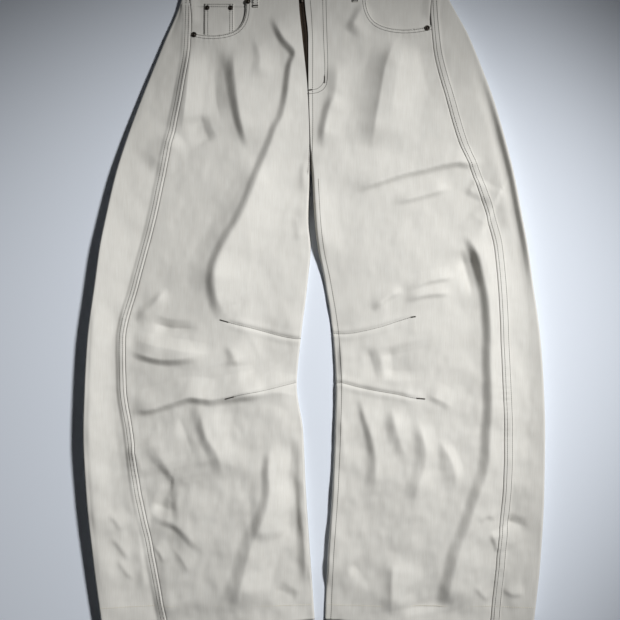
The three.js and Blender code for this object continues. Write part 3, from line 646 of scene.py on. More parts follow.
def mouthDown(leg, away):
    m = mouths[leg["name"]]
    u = np.clip((mouthSeam(leg) - away) / m["width"], 0, 1)
    return m["depth"] * (1 - u ** m["power"]) ** (1 / m["power"]) - m["climb"] * (1 - u) ** 4


def mouthCurve(leg, beyond=0.0, count=60):
    # the mouth from the side seam to the waist, or a line beside it on the front
    m = mouths[leg["name"]]
    away = mouthSeam(leg) - m["width"] * np.sin(np.linspace(0, math.pi / 2, count))
    curve = np.stack([away, mouthDown(leg, away)], axis=1)
    heading = np.gradient(curve, axis=0)
    heading /= np.linalg.norm(heading, axis=1, keepdims=True)
    curve = curve + beyond * np.stack([heading[:, 1], -heading[:, 0]], axis=1)
    return curve[curve[:, 1] > 1.0] if beyond else curve


for leg in legs:
    leg["mouth"] = mouthCurve(leg) * [leg["side"], 1]


def mouthedHeight(leg, x, down):
    level = frontHeight(leg, x, down)
    size = mouthEdge
    near = nearCurve(leg["mouth"], x, down, size["reach"])
    offset, share = besidePath(leg["mouth"], x[near], down[near])
    far = abs(offset)
    fold = size["rise"] * (1 - smooth((far - size["wide"]) / size["fade"]))
    fold = fold - size["roll"] * np.exp(-(far / size["rollWide"]) ** 2)
    wave = size["pucker"] * puckerWave(share * size["long"], 0.4, 8.0)
    wave = wave * np.exp(-((far - size["puckerAt"]) / size["puckerWide"]) ** 2)
    level[near] += fold + wave
    return level


def panelPiece(kind, leg, away, downs, level, sag, run=None, keep=None, flip=False):
    # a panel of the leg: away is each place's distance from the centre, run the same on the flat
    points = placeAt(leg["side"] * away, downs + hemSag(downs, sag), level)
    run = away if run is None else run(points)
    cut = np.stack([leg["side"] * run, downs], axis=-1)
    return clothPiece(f"{kind}Panel_{leg['name']}", points, hemThick(downs), cut, ecruDenim, keep, flip)


def frontPanel(leg):
    down = rowDowns()
    s = sectionAt(leg, down)
    share = legShare(down)
    inner = s["inner"] + halfGap
    start = inner + lie["inseamRound"]
    arc = 9
    turn = np.linspace(0, math.pi / 2, arc, endpoint=False)[None, :]
    arcAway = inner + lie["inseamRound"] * (1 - np.cos(turn))
    spread = runs((0, 0.95, 98), (0.95, 1, 13))
    flatAway = mix(start, s["edge"] - halfGap, spread[None, :])
    away = np.concatenate([arcAway, flatAway], axis=1)
    downs = np.broadcast_to(down, away.shape).copy()

    # cells inside the pocket's mouth are left out, and their edge is drawn onto its curve
    middle = (away[:-1, :-1] + away[1:, 1:]) / 2
    middleDown = (downs[:-1, :-1] + downs[1:, 1:]) / 2
    mouthEnd = mouthSeam(leg) - mouths[leg["name"]]["width"]
    inside = (middle > mouthEnd) & (middleDown < mouthDown(leg, middle))
    touched = np.zeros(away.shape, int)
    kept = np.zeros(away.shape, int)
    for r in (0, 1):
        for c in (0, 1):
            window = (slice(r, r + inside.shape[0]), slice(c, c + inside.shape[1]))
            touched[window] += inside
            kept[window] += ~inside
    edge = (touched > 0) & (kept > 0)
    curve = mouthCurve(leg, count=500)
    at = np.stack([away[edge], downs[edge]], axis=1)
    nearest = curve[np.argmin(((at[:, None] - curve[None]) ** 2).sum(-1), axis=1)]
    nearest[at[:, 1] < cloth["gap"], 1] = halfGap
    away[edge], downs[edge] = nearest[:, 0], nearest[:, 1]

    level = mouthedHeight(leg, leg["side"] * away, downs)
    edgeTop = frontHeight(leg, leg["side"] * start, down)
    drop = share * (edgeTop - lie["inseamHeight"] - halfGap)
    level[:, :arc] = mix(level[:, :arc], edgeTop - drop * (1 - np.sin(turn)), share)
    across = np.clip((away - start) / (s["seam"] - start), 0, 1)
    return panelPiece("front", leg, away, downs, level, across * lie["seamSag"], keep=~inside,
                      flip=leg["side"] < 0)


# The seam at the back of each side panel: two rows sewn into shallow channels of the underside
backSeam = dict(first=4.0, second=9.0, deep=0.95, wide=1.5)


def underHeight(beyond, down):
    # the underside, which lies flat apart from the channels, beyond the back's seam
    size = backSeam
    low = backHeight(down)
    for row in (0, size["first"], size["second"]):
        low = low + size["deep"] * np.exp(-((beyond - row) / size["wide"]) ** 2)
    return low


def sidePanel(leg):
    down = rowDowns()
    s = sectionAt(leg, down)
    start = s["edge"] + halfGap
    spread = runs((0, 0.28, 14), (0.28, 1, 24), closed=False)
    topAway = mix(start, s["crest"], spread[None, :])
    topLevel = frontHeight(leg, leg["side"] * topAway, np.broadcast_to(down, topAway.shape))
    turn = np.linspace(math.pi / 2, -math.pi / 2, 16, endpoint=False)[None, :]
    low = backHeight(down)
    half = (frontHeight(leg, leg["side"] * s["crest"], down) - low) / 2
    arcAway = s["crest"] + lie["outerRound"] * np.cos(turn)
    arcLevel = low + half + half * np.sin(turn)
    underSpread = runs((1, 0.28, 8), (0.28, 0, 14))
    underAway = mix(s["seam"] + halfGap, s["crest"], underSpread[None, :])
    underLevel = underHeight(underAway - s["seam"], down)
    away = np.concatenate([topAway, arcAway, underAway], axis=1)
    level = np.concatenate([topLevel, arcLevel, underLevel], axis=1)
    sag = [mix(lie["seamSag"], 1, t) for t in (spread, np.ones(turn.size), underSpread)]

    def run(points):
        steps = np.linalg.norm(np.diff(points, axis=1), axis=-1) / mm
        return s["seam"] + np.pad(np.cumsum(steps, axis=1), ((0, 0), (1, 0)))

    return panelPiece("side", leg, away, np.broadcast_to(down, away.shape), level,
                      np.concatenate(sag)[None, :], run, flip=leg["side"] < 0)


def backPanel(leg):
    down = rowDowns(coarser=1.6)
    s = sectionAt(leg, down)
    share = legShare(down)
    low = backHeight(down)
    inner = halfGap + share * s["inner"]
    start = inner + lie["inseamRound"]
    turn = np.linspace(0, math.pi / 2, 6, endpoint=False)[None, :]
    arcAway = inner + lie["inseamRound"] * (1 - np.cos(turn))
    lift = share * (lie["inseamHeight"] - halfGap - low)
    arcLevel = low + lift * (1 - np.sin(turn))
    spread = runs((0, 0.96, 46), (0.96, 1, 9))
    flatAway = mix(start, s["seam"] - halfGap, spread[None, :])
    away = np.concatenate([arcAway, flatAway], axis=1)
    level = np.concatenate([arcLevel, underHeight(flatAway - s["seam"], down)], axis=1)
    across = np.clip((away - start) / (s["seam"] - start), 0, 1)
    return panelPiece("back", leg, away, np.broadcast_to(down, away.shape), level,
                      across * lie["seamSag"], flip=leg["side"] > 0)


panels = {}
for leg in legs:
    for kind, make in (("front", frontPanel), ("side", sidePanel), ("back", backPanel)):
        panels[f"{kind}_{leg['name']}"] = make(leg)
print("panels cut")


def patchUnder(name, leg, box, depth, thick, rows, columnsAcross, edgeRoll=0.0, meet=0.0):
    # a patch of cloth under the front, between two distances from the centre and two downs
    down = np.linspace(box["top"], box["bottom"], rows)[:, None]
    outer = np.minimum(box["outer"], sectionAt(leg, down)["edge"] - halfGap)
    away = mix(box["inner"], outer, np.linspace(0, 1, columnsAcross)[None, :])
    downs = np.broadcast_to(down, away.shape)
    x = leg["side"] * away
    deep = np.full(away.shape, float(depth))
    if meet:
        above = smooth((mouths[leg["name"]]["depth"] - facing["underlap"] - down) / meet)
        deep *= 1 - smooth((away - outer + meet) / meet) * above
    fromEdge = np.minimum(np.minimum(away - box["inner"], outer - away),
                          np.minimum(downs - box["top"], box["bottom"] - downs))
    deep += edgeRoll * np.exp(-(fromEdge / 1.0) ** 2)
    points, _ = onFront(leg, x, downs, -deep)
    cut = np.stack([x + cutAway["patch"], downs], axis=-1)
    return clothPiece(name, points, thick, cut, ecruDenim, flip=leg["side"] < 0)


facing = dict(underlap=14, depth=dict(right=3.3, left=2.6), meet=16)
for leg in legs:
    m = mouths[leg["name"]]
    inner = float(along(leg, "seam", np.array(0.0))) - m["width"] - facing["underlap"]
    box = dict(inner=inner, outer=999, top=halfGap, bottom=m["depth"] + facing["underlap"])
    piece = patchUnder(f"pocketFacing_{leg['name']}", leg, box, facing["depth"][leg["name"]],
                       cloth["wall"], 34, 50, meet=facing["meet"])
    panels[f"facing_{leg['name']}"] = piece

coinPocket = dict(inner=120, outer=167, top=8, bottom=76, depth=1.8, edgeRow=1.6, rowGap=4.6,
                  rowsTo=62)
panels["coinPocket"] = patchUnder("coinPocket", rightLeg, coinPocket, coinPocket["depth"],
                                  cloth["patch"], 44, 34, edgeRoll=0.35)
print("pockets made")

# The fly: a shield and a zip tape behind the left front, which laps over the right. The tape's dark brown
# colour is partly painted shade: it stands in for the shadow in the gap beside the fly's edge
fly = dict(shieldFrom=-34, shieldTo=20, shieldDepth=4.3, tapeHalf=9, tapeDepth=3.0, tapeThick=1.0,
           end=150)


def zipMiddle(down):
    return (sectionAt(leftLeg, down)["inner"] - sectionAt(rightLeg, down)["inner"]) / 2


def flyStrip(name, away, down, depth, thick, material):
    downs = np.broadcast_to(down, away.shape)
    points, _ = onFront(leftLeg, away, downs, -depth)
    cut = np.stack([away + cutAway["fly"], downs], axis=-1)
    return clothPiece(name, points, thick, cut, material)


down = np.linspace(halfGap, fly["end"], 50)[:, None]
narrow = mix(1, 0.55, down / fly["end"])
away = mix(fly["shieldFrom"] * narrow, fly["shieldTo"] * narrow, np.linspace(0, 1, 20)[None, :])
panels["flyShield"] = flyStrip("flyShield", away, down, fly["shieldDepth"], cloth["wall"], ecruDenim)

# the tape shows in the gap at the fly's edge, and its dark colour is painted shade for that gap
down = np.linspace(halfGap, fly["end"] - 4, 50)[:, None]
away = zipMiddle(down) + fly["tapeHalf"] * np.linspace(-1, 1, 12)[None, :]
panels["zipTape"] = flyStrip("zipTape", away, down, fly["tapeDepth"], fly["tapeThick"], tapeAndGapShade)
print("fly made")

# The waistband goes from its under end at the centre front round the body to its over end
band = dict(under=22, rampFrom=-46, rampTo=-16, edgeRow=2.6, roll=0.6, overEnd=-8, places=66)


def bandRow(down, proud=0.0):
    # places along the band at one down, with the way out and the run along it
    right, left = sectionAt(rightLeg, down), sectionAt(leftLeg, down)
    low = backHeight(down)
    front = band["places"]
    x = np.linspace(band["under"], -right["crest"], front, endpoint=False)
    lap = smooth((x - band["rampFrom"]) / (band["rampTo"] - band["rampFrom"]))
    points, out = onFront(rightLeg, x, down, proud - lap * (cloth["band"] + 2 * cloth["gap"]))
    rows = [(points, out)]

    def arc(leg, s, turn):
        half = (frontHeight(leg, leg["side"] * s["crest"], down) - low) / 2
        out = np.stack([leg["side"] * np.cos(turn) * half, np.zeros_like(turn),
                        np.sin(turn) * lie["outerRound"]], axis=-1)
        out /= np.linalg.norm(out, axis=-1, keepdims=True)
        x = leg["side"] * (s["crest"] + lie["outerRound"] * np.cos(turn))
        return placeAt(x, down, low + half + half * np.sin(turn)) + out * proud * mm, out

    quarter = np.linspace(math.pi / 2, -math.pi / 2, 14, endpoint=False)
    rows.append(arc(rightLeg, right, quarter))
    x = np.linspace(-right["crest"], left["crest"], 2 * front, endpoint=False)
    rows.append((placeAt(x, down, low - proud), np.broadcast_to([0, 0, -1.0], x.shape + (3,))))
    rows.append(arc(leftLeg, left, -quarter))
    x = np.linspace(left["crest"], left["inner"], front)
    rows.append(onFront(leftLeg, x, down, proud))
    points = np.concatenate([r[0] for r in rows])
    out = np.concatenate([r[1] for r in rows])
    run = np.pad(np.cumsum(np.linalg.norm(np.diff(points, axis=0), axis=-1)), (1, 0)) / mm
    return points, out, run


def waistband():
    downs = -np.concatenate([np.linspace(halfGap, 3, 4), np.linspace(5, 35, 12),
                             np.linspace(37, length["band"], 4)])
    rows = []
    for down in downs:
        fromEdge = min(-down - halfGap, length["band"] + down)
        rows.append(bandRow(np.array(down), proud=-band["roll"] * math.exp(-(fromEdge / 1.1) ** 2)))
    points, run = np.stack([r[0] for r in rows]), np.stack([r[2] for r in rows])
    cut = np.stack([np.broadcast_to(downs[:, None], run.shape), run], axis=-1)
    return clothPiece("waistBand", points, cloth["band"], cut, ecruDenim)


panels["waistband"] = waistband()

# Belt loops: a strip over the front of the band, bowed a little off it, or pressed flat behind it
loop = dict(width=10, thick=1.7, below=16.5, lift=1.2, roll=0.5, row=3.2, rowEnd=2, tack=4.3,
            tackEnd=2.5, sunk=0.45)
loops = [("FrontRight", rightLeg, -85.5), ("FrontLeft", leftLeg, 72.5),
         ("BackRight", None, -128), ("BackCentre", None, 0), ("BackLeft", None, 128)]


def loopBow(down):
    share = (down + length["band"]) / (length["band"] + loop["below"])
    return cloth["gap"] + loop["thick"] + loop["lift"] * np.sin(math.pi * share)


def beltLoop(name, leg, x):
    down = np.linspace(-length["band"], loop["below"], 40)[:, None]
    across = x + loop["width"] * np.linspace(-0.5, 0.5, 11)[None, :]
    roll = loop["roll"] * np.exp(-((loop["width"] / 2 - abs(across - x)) / 0.8) ** 2)
    across, down, roll = np.broadcast_arrays(across, down, roll)
    if leg:
        points, _ = onFront(leg, across, down, loopBow(down) - roll)
    else:
        points = placeAt(across, down, backHeight(down) - cloth["gap"] - loop["thick"] + roll)
    cut = np.stack([across + cutAway["loop"], down], axis=-1)
    return clothPiece(f"beltLoop{name}", points, loop["thick"] - roll, cut, ecruDenim, flip=not leg)


for name, leg, x in loops:
    panels[f"loop{name}"] = beltLoop(name, leg, x)
print("waistband and loops made")


# Stitches. A row of thread is a line of places; a bead of thread is set at every step of it
stitchSize = dict(step=3.2, long=2.9, thick=1.0, proud=0.15)
tackSize = dict(step=0.75, long=2.6, thick=0.7, proud=0.35)
kinds = dict(plain=(stitchSize, 0.0, darkThread), tack=(tackSize, math.pi / 2, darkThread),
             hem=(stitchSize, 0.0, paleThread))


def densely(points):
    # the same line with evenly spaced points, 2 mm apart
    points = np.array(points, float)
    far = np.pad(np.cumsum(np.hypot(*np.diff(points, axis=0).T)), (1, 0))
    at = np.linspace(0, far[-1], max(2, int(far[-1] / 2)))
    return np.stack([np.interp(at, far, points[:, k]) for k in (0, 1)], axis=1)


def sewFront(where, leg, path, height=frontHeight, depth=0.0, kind="plain"):
    line = densely(path)
    points, out = onFront(leg, line[:, 0], line[:, 1], kinds[kind][0]["proud"] - depth, height)
    sew(where, points, out, kind)


# side seams: two rows on the panel's folded edge, and two in the channels of the underside
sideRows = dict(right=dict(first=0.0, top=5.0, hem=5.0), left=dict(first=0.0, top=5.5, hem=8.0))
for leg in legs:
    down = np.arange(1.5, length["toHem"] - 1, 2.0)
    s = sectionAt(leg, down)
    rows = sideRows[leg["name"]]
    for beyond in (rows["first"], mix(rows["top"], rows["hem"], smooth(down / 200))):
        path = np.stack([leg["side"] * (s["seam"] + beyond), down], axis=1)
        sewFront(f"side_{leg['name']}", leg, path)
    for beyond in (backSeam["first"], backSeam["second"]):
        away = s["seam"] + beyond
        level = underHeight(np.full(down.shape, beyond), down) - stitchSize["thick"] * 0.25
        points = placeAt(leg["side"] * away, down + hemSag(down, 0.83), level)
        sew(f"side_{leg['name']}", points, np.broadcast_to([0, 0, -1.0], points.shape))

# the left inseam's row, and the hems, which are sewn in the cloth's own colour
inseamRow, hemUp = 9.5, 24
down = np.arange(length["toCrotch"] + 8, length["toHem"] - 1, 2.0)
path = np.stack([sectionAt(leftLeg, down)["inner"] + inseamRow, down], axis=1)
sewFront("front_left", leftLeg, path)
for leg in legs:
    down = length["toHem"] - hemUp
    s = sectionAt(leg, np.array(float(down)))
    for where, *ends in (("front", s["inner"] + 5, s["edge"] - 2), ("side", s["edge"] + 2, s["crest"])):
        sewFront(f"{where}_{leg['name']}", leg, [(leg["side"] * end, down) for end in ends], kind="hem")

# centre front below the fly, and the edge of the fly
centreRows = [
    [(1, 8), (3.6, 40), (4.9, 80), (4.9, 150), (5.2, 200), (4.6, 240), (2.5, 276)],
    [(-1.2, 152), (0.2, 200), (1.6, 240), (1.4, 274)],
]

# the curved double row that holds the fly, and its bar tacks
flyRows = [
    [(20.7, 1.5), (21.6, 44), (22.9, 84), (24.2, 115), (22.1, 136), (11.9, 146), (-2.4, 148.5)],
    [(25.9, 1.5), (27.2, 52), (28.8, 100), (28.1, 131), (24.5, 144), (13.4, 151.7), (-2.4, 154)],
]
for row in centreRows + flyRows:
    sewFront("front_left", leftLeg, softPath(row))
flyTacks = [[(23.7, 126), (23.7, 137)], [(-1.5, 148.5), (4.5, 147.5)]]
for tack in flyTacks:
    sewFront("front_left", leftLeg, tack, kind="tack")

# pocket mouths
for leg in legs:
    for beyond in (mouthEdge["firstRow"], mouthEdge["secondRow"]):
        path = mouthCurve(leg, beyond=beyond) * [leg["side"], 1]
        path = path[abs(path[:, 0]) < mouthSeam(leg) - 3]
        sewFront(f"front_{leg['name']}", leg, path, height=mouthedHeight)

# coin pocket: a double row at its top and down both sides
p = coinPocket
inner, outer = p["inner"] + p["edgeRow"], p["outer"] - p["edgeRow"]
for down in (p["top"] + p["edgeRow"], p["top"] + p["edgeRow"] + p["rowGap"]):
    sewFront("coinPocket", rightLeg, [(-inner, down), (-outer, down)], depth=p["depth"])
for away in (inner, inner + p["rowGap"], outer - p["rowGap"], outer):
    path = [(-away, p["top"] + p["edgeRow"]), (-away, p["rowsTo"])]
    sewFront("coinPocket", rightLeg, path, depth=p["depth"])

# darts: one row each, fastened off at the point
for dart in darts:
    leg = rightLeg if "right" in dart["name"] else leftLeg
    sewFront(f"front_{leg['name']}", leg, dart["curve"])
    sewFront(f"front_{leg['name']}", leg, dart["curve"][-3:], kind="tack")
print("panels stitched")

# waistband: a row near each edge, the ends, and the buttonhole
button = dict(x=7, down=-20)
buttonHole = dict(x=13, half=13, wide=1.9)
for down in (-band["edgeRow"], -length["band"] + band["edgeRow"]):
    points, out, run = bandRow(np.array(down), proud=stitchSize["proud"])
    sew("waistband", points[2:-1], out[2:-1])
bandEnd = band["overEnd"] + band["edgeRow"]
sewFront("waistband", leftLeg, [(bandEnd, -3), (bandEnd, 3 - length["band"])])
hole = [(buttonHole["x"] + buttonHole["half"] * math.cos(a),
         button["down"] + buttonHole["wide"] * math.sin(a)) for a in np.linspace(0, 2 * math.pi, 40)]
sewFront("waistband", leftLeg, hole, kind="tack")

# belt loops: a row down each edge, and a bar tack at each end of those in front
base = cloth["gap"] + loop["thick"]
down = np.linspace(loop["rowEnd"] - length["band"], loop["below"] - loop["rowEnd"], 30)
for name, leg, x in loops:
    for side in (-loop["row"], loop["row"]):
        across = np.full(down.shape, x + side)
        if leg:
            points, out = onFront(leg, across, down, loopBow(down) + stitchSize["proud"])
        else:
            points = placeAt(across, down, backHeight(down) - base + loop["sunk"])
            out = np.broadcast_to([0, 0, -1.0], points.shape)
        sew(f"loop{name}", points, out)
    for end in (loop["tackEnd"] - length["band"], loop["below"] - loop["tackEnd"]) if leg else ():
        sewFront(f"loop{name}", leg, [(x - loop["tack"], end), (x + loop["tack"], end)],
                 depth=-base - 0.1, kind="tack")


def pieceTree(name, given, numbers, finish):
    # a tree of geometry nodes that takes a mesh, some numbers and a material
    group = bpy.data.node_groups.new(name, "GeometryNodeTree")
    face = group.interface
    face.new_socket(given, in_out="INPUT", socket_type="NodeSocketGeometry")
    for number in numbers:
        face.new_socket(number, in_out="INPUT", socket_type="NodeSocketFloat")
    face.new_socket(finish, in_out="INPUT", socket_type="NodeSocketMaterial")
    face.new_socket("Made", in_out="OUTPUT", socket_type="NodeSocketGeometry")
    g = Nodes(group)
    return group, g, g.node("NodeGroupInput")


def setOnPlaces(g, places, shape, rotation, scale, material):
    # a shape at every place, as one plain mesh in its material
    shape = g.node("GeometryNodeSetShadeSmooth", None, {"Geometry": shape})
    copies = g.node("GeometryNodeInstanceOnPoints", None,
                    {"Points": places, "Instance": shape, "Rotation": rotation, "Scale": scale})
    plain = g.node("GeometryNodeRealizeInstances", None, {"Geometry": copies})
    ready = g.node("GeometryNodeSetMaterial", None, {"Geometry": plain, "Material": material})
    g.node("NodeGroupOutput", None, {0: ready})


def beadTree():
    group, g, asked = pieceTree("threadBeads", "Rows", ("Step", "Long", "Thick", "Turn"), "Thread")
    rows = g.node("GeometryNodeMeshToCurve", None, {"Mesh": asked.output("Rows")})
    steps = g.node("GeometryNodeResampleCurve", {"mode": "LENGTH"},
                   {"Curve": rows, "Length": asked.output("Step")})
    way = g.node("GeometryNodeInputNamedAttribute", {"data_type": "FLOAT_VECTOR"}, {"Name": "out"})
    tangent = g.node("GeometryNodeInputTangent")
    lying = g.node("FunctionNodeAlignRotationToVector", {"axis": "X"}, {"Vector": tangent})
    facing = g.node("FunctionNodeAlignRotationToVector", {"axis": "Z", "pivot_axis": "X"},
                    {"Rotation": lying, "Vector": way})
    wobble = g.node("FunctionNodeRandomValue", {"data_type": "FLOAT"},
                    {2: -0.07, 3: 0.07, "Seed": 5}, out=1)
    spin = g.node("FunctionNodeAxisAngleToRotation", None,
                  {"Axis": (0, 0, 1), "Angle": wobble + asked.output("Turn")})
    turned = g.node("FunctionNodeRotateRotation", {"rotation_space": "LOCAL"},
                    {"Rotation": facing, "Rotate By": spin})
    ball = g.node("GeometryNodeMeshUVSphere", None, {"Segments": 6, "Rings": 4, "Radius": 0.5})
    size = g.node("ShaderNodeCombineXYZ", None,
                  {"X": asked.output("Long"), "Y": asked.output("Thick"), "Z": asked.output("Thick")})
    setOnPlaces(g, steps, ball, turned, size, asked.output("Thread"))
    return group


def lineMesh(name, rows):
    mesh = bpy.data.meshes.new(name)
    points = np.concatenate([r["points"] for r in rows])
    out = np.concatenate([r["out"] for r in rows])
    starts = np.pad(np.cumsum([len(r["points"]) for r in rows]), (1, 0))
    edges = [(i, i + 1) for a, b in zip(starts[:-1], starts[1:]) for i in range(a, b - 1)]
    mesh.from_pydata(points.tolist(), edges, [])
    way = mesh.attributes.new("out", "FLOAT_VECTOR", "POINT")
    way.data.foreach_set("vector", out.astype(np.float32).ravel())
    return mesh


def grown(name, mesh, group, values):
    # what a tree of geometry nodes makes of a mesh, as a plain mesh
    carrier = addObject(name + "Rows", mesh)
    modifier = carrier.modifiers.new("grow", "NODES")
    modifier.node_group = group
    for item in group.interface.items_tree:
        if item.in_out == "INPUT" and item.name in values:
            modifier[item.identifier] = values[item.name]
    graph = bpy.context.evaluated_depsgraph_get()
    made = bpy.data.meshes.new_from_object(carrier.evaluated_get(graph), depsgraph=graph)
    bpy.data.objects.remove(carrier)
    made.name = name
    return addObject(name, made)


def joined(name, pieces):
    with bpy.context.temp_override(active_object=pieces[0], selected_editable_objects=pieces):
        if len(pieces) > 1:
            bpy.ops.object.join()
    pieces[0].name = name
    return pieces[0]


beads = beadTree()


def beadPiece(name, rows, size, turn, material):
    values = {"Step": size["step"] * mm, "Long": size["long"] * mm, "Thick": size["thick"] * mm,
              "Turn": turn, "Thread": material}
    return grown(name, lineMesh(name, rows), beads, values)


def threadPiece(where):
    rows = threadRows[where]
    made = []
    for kind, (size, turn, thread) in kinds.items():
        chosen = [r for r in rows if r["kind"] == kind]
        if chosen:
            made.append(beadPiece(f"thread_{where}", chosen, size, turn, thread))
    return joined(f"thread_{where}", made)


threads = {where: threadPiece(where) for where in threadRows}
for piece in threads.values():
    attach(piece, "root")
print("threads sewn")

# The zip: two rows of teeth that mesh on the tape, and the slider above them with its pull
tooth = dict(step=1.9, long=2.6, thick=1.15, apart=1.5, top=13, bottom=142, above=0.4)
down = np.arange(tooth["top"], tooth["bottom"], 1.0)
rows = []
for side in (-1, 1):
    start = tooth["step"] / 4 * side
    points, out = onFront(leftLeg, zipMiddle(down) + side * tooth["apart"] / 2, down + start,
                          tooth["above"] - fly["tapeDepth"])
    rows.append(dict(points=points, out=out))
sewOn(beadPiece("zipTeeth", rows, tooth, math.pi / 2, antiqueMetal), [])

slider = dict(x=-12.4, down=6, wide=6, long=11, top=-0.6, thick=2, dome=0.5, pullWide=3.4, pullLong=8)


def slideStrip(name, middle, wide, long, top, thick, waist):
    t, u = np.linspace(-1, 1, 17)[:, None], np.linspace(-1, 1, 13)[None, :]
    narrow = 1 - waist * np.exp(-((t - 0.1) / 0.4) ** 2)
    x = slider["x"] + u * wide / 2 * narrow * (1 - 0.25 * np.maximum(0, abs(t) - 0.6))
    downs = np.broadcast_to(middle + t * long / 2, x.shape)
    edge = np.minimum((1 - abs(u)) * wide / 2, (1 - abs(t)) * long / 2)
    points, _ = onFront(leftLeg, x, downs, top - slider["dome"] * np.exp(-(edge / 0.7) ** 2))
    return clothPiece(name, points, thick, np.stack([x, downs], axis=-1), antiqueMetal)


body = slideStrip("zipSlider", slider["down"], slider["wide"], slider["long"], slider["top"],
                  slider["thick"] - slider["dome"], 0.22)
pull = slideStrip("zipPull", slider["down"] + 2, slider["pullWide"], slider["pullLong"],
                  slider["top"] + 1.0, 0.8, 0.0)
sewOn(joined("zipSlider", [body, pull]), ["zip_slider"])
print("zip made")

# What each piece stands for, the size it was cut to in metres, and what it lies on
cuts = [(f"{kind}_{side}", [f"{kind}_{side}"], "denim", flat, under and [f"{under}_{side}"])
        for kind, flat, under in (("back", (0.31, 0.99), None), ("side", (0.26, 0.99), None),
                                  ("front", (0.31, 0.99), "back"))
        for side in ("right", "left")]
cuts += [
    ("facing_right", ["pocket_facing_right"], "denim", (0.105, 0.077), ["back_right"]),
    ("facing_left", ["pocket_facing_left"], "denim", (0.121, 0.074), ["back_left"]),
    ("coinPocket", ["coin_pocket"], "denim", (0.048, 0.068), ["pocket_facing_right"]),
    ("flyShield", ["fly_shield"], "denim", (0.055, 0.151), ["back_right"]),
    ("zipTape", ["zip_tape"], "zip_tape", (0.019, 0.147), ["fly_shield"]),
    ("waistband", ["waistband"], "denim", (0.83, 0.041), None),
]
cuts += [(f"loop{end}{side}", [f"belt_loop_{end}_{side}".lower()], "denim", (0.011, 0.058),
          ["waistband"])
         for end, side in (("Front", "Right"), ("Front", "Left"), ("Back", "Right"),
                           ("Back", "Centre"), ("Back", "Left"))]
for key, nodes, slot, flat, under in cuts:
    piece = panels[key]
    faces = piece.data.polygons
    areas = np.zeros(len(faces))
    faces.foreach_get("area", areas)
    sewOn(piece, nodes, [threads[key]] if key in threads else [])

# Metal: rivets on the pocket corners and the coin pocket
rivetSize = dict(radius=4.4, height=1.5, small=3.8, smallHeight=1.3, above=0.25)
rivets = [
    ("right_low", rightLeg, 182.5, 60, 0, False),
    ("right_high", rightLeg, 97.5, 6, 0, False),
    ("left_low", leftLeg, 185.5, 56.5, 0, False),
    ("left_high", leftLeg, 82.5, 6, 0, False),
    ("coin_inner", rightLeg, coinPocket["inner"] + 5, coinPocket["top"] + 8, coinPocket["depth"], True),
    ("coin_outer", rightLeg, coinPocket["outer"] - 5, coinPocket["top"] + 8, coinPocket["depth"], True),
]


def rivetTree():
    group, g, asked = pieceTree("rivets", "Places", ("Radius", "Height"), "Metal")
    radius, height = asked.output("Radius"), asked.output("Height")

    def vector(x, y, z):
        return g.node("ShaderNodeCombineXYZ", None, {"X": x, "Y": y, "Z": z})

    def placed(shape, lift, scale=(1, 1, 1)):
        return g.node("GeometryNodeTransform", None,
                      {"Geometry": shape, "Translation": vector(0.0, 0.0, lift), "Scale": scale})

    def circle(resolution, share):
        return g.node("GeometryNodeCurvePrimitiveCircle", None,
                      {"Resolution": resolution, "Radius": radius * share})

    ring = g.node("GeometryNodeCurveToMesh", None,
                  {"Curve": circle(28, 0.77), "Profile Curve": circle(10, 0.23)})
    ring = placed(ring, height * 0.42, (1, 1, 0.62))
    plate = g.node("GeometryNodeMeshCylinder", None,
                   {"Vertices": 28, "Radius": radius * 0.8, "Depth": height * 0.6})
    plate = placed(plate, height * 0.3)
    dome = g.node("GeometryNodeMeshUVSphere", None, {"Segments": 16, "Rings": 8, "Radius": radius * 0.4})
    dome = placed(dome, height * 0.5, (1, 1, 0.42))
    shape = g.node("GeometryNodeJoinGeometry", None, {"Geometry": [ring, plate, dome]})
    way = g.node("GeometryNodeInputNamedAttribute", {"data_type": "FLOAT_VECTOR"}, {"Name": "out"})
    upright = g.node("FunctionNodeAlignRotationToVector", {"axis": "Z"}, {"Vector": way})
    setOnPlaces(g, asked.output("Places"), shape, upright, (1, 1, 1), asked.output("Metal"))
    return group


rivetShape = rivetTree()
for small, name in ((False, "rivets"), (True, "coinRivets")):
    chosen = [r for r in rivets if r[5] == small]
    rows = []
    for _, leg, away, down, depth, _ in chosen:
        height = frontHeight if depth else mouthedHeight
        x, at = np.array([leg["side"] * away], float), np.array([down], float)
        points, out = onFront(leg, x, at, rivetSize["above"] - depth, height)
        rows.append(dict(points=points, out=out))
    values = {"Radius": (rivetSize["small"] if small else rivetSize["radius"]) * mm,
              "Height": (rivetSize["smallHeight"] if small else rivetSize["height"]) * mm,
              "Metal": antiqueMetal}
    piece = grown(name, lineMesh(name, rows), rivetShape, values)
    sewOn(piece, [f"rivet_{r[0]}" for r in chosen])


def turnedPiece(name, profile, place, out, material):
    # a profile of (radius, height) in millimetres turned round the way out at a place
    sides = 48
    profile = np.array(profile, float) * mm
    turn = np.linspace(0, 2 * math.pi, sides, endpoint=False)
    rings = np.stack([profile[:, None, 0] * np.cos(turn), profile[:, None, 0] * np.sin(turn),
                      np.broadcast_to(profile[:, None, 1], (len(profile), sides))], axis=-1)
    spin = Vector(out).to_track_quat("Z", "Y").to_matrix()
    points = rings.reshape(-1, 3) @ np.array(spin).T + place
    faces = []
    for r in range(len(profile) - 1):
        for k in range(sides):
            n = (k + 1) % sides
            faces.append((r * sides + k, r * sides + n, (r + 1) * sides + n, (r + 1) * sides + k))
    last = (len(profile) - 1) * sides
    faces.append(tuple(range(last, last + sides)))
    faces.append(tuple(range(sides - 1, -1, -1)))
    mesh = bpy.data.meshes.new(name)
    mesh.from_pydata(points.tolist(), [], faces)
    mesh.shade_smooth()
    mesh.materials.append(material)
    return addObject(name, mesh)


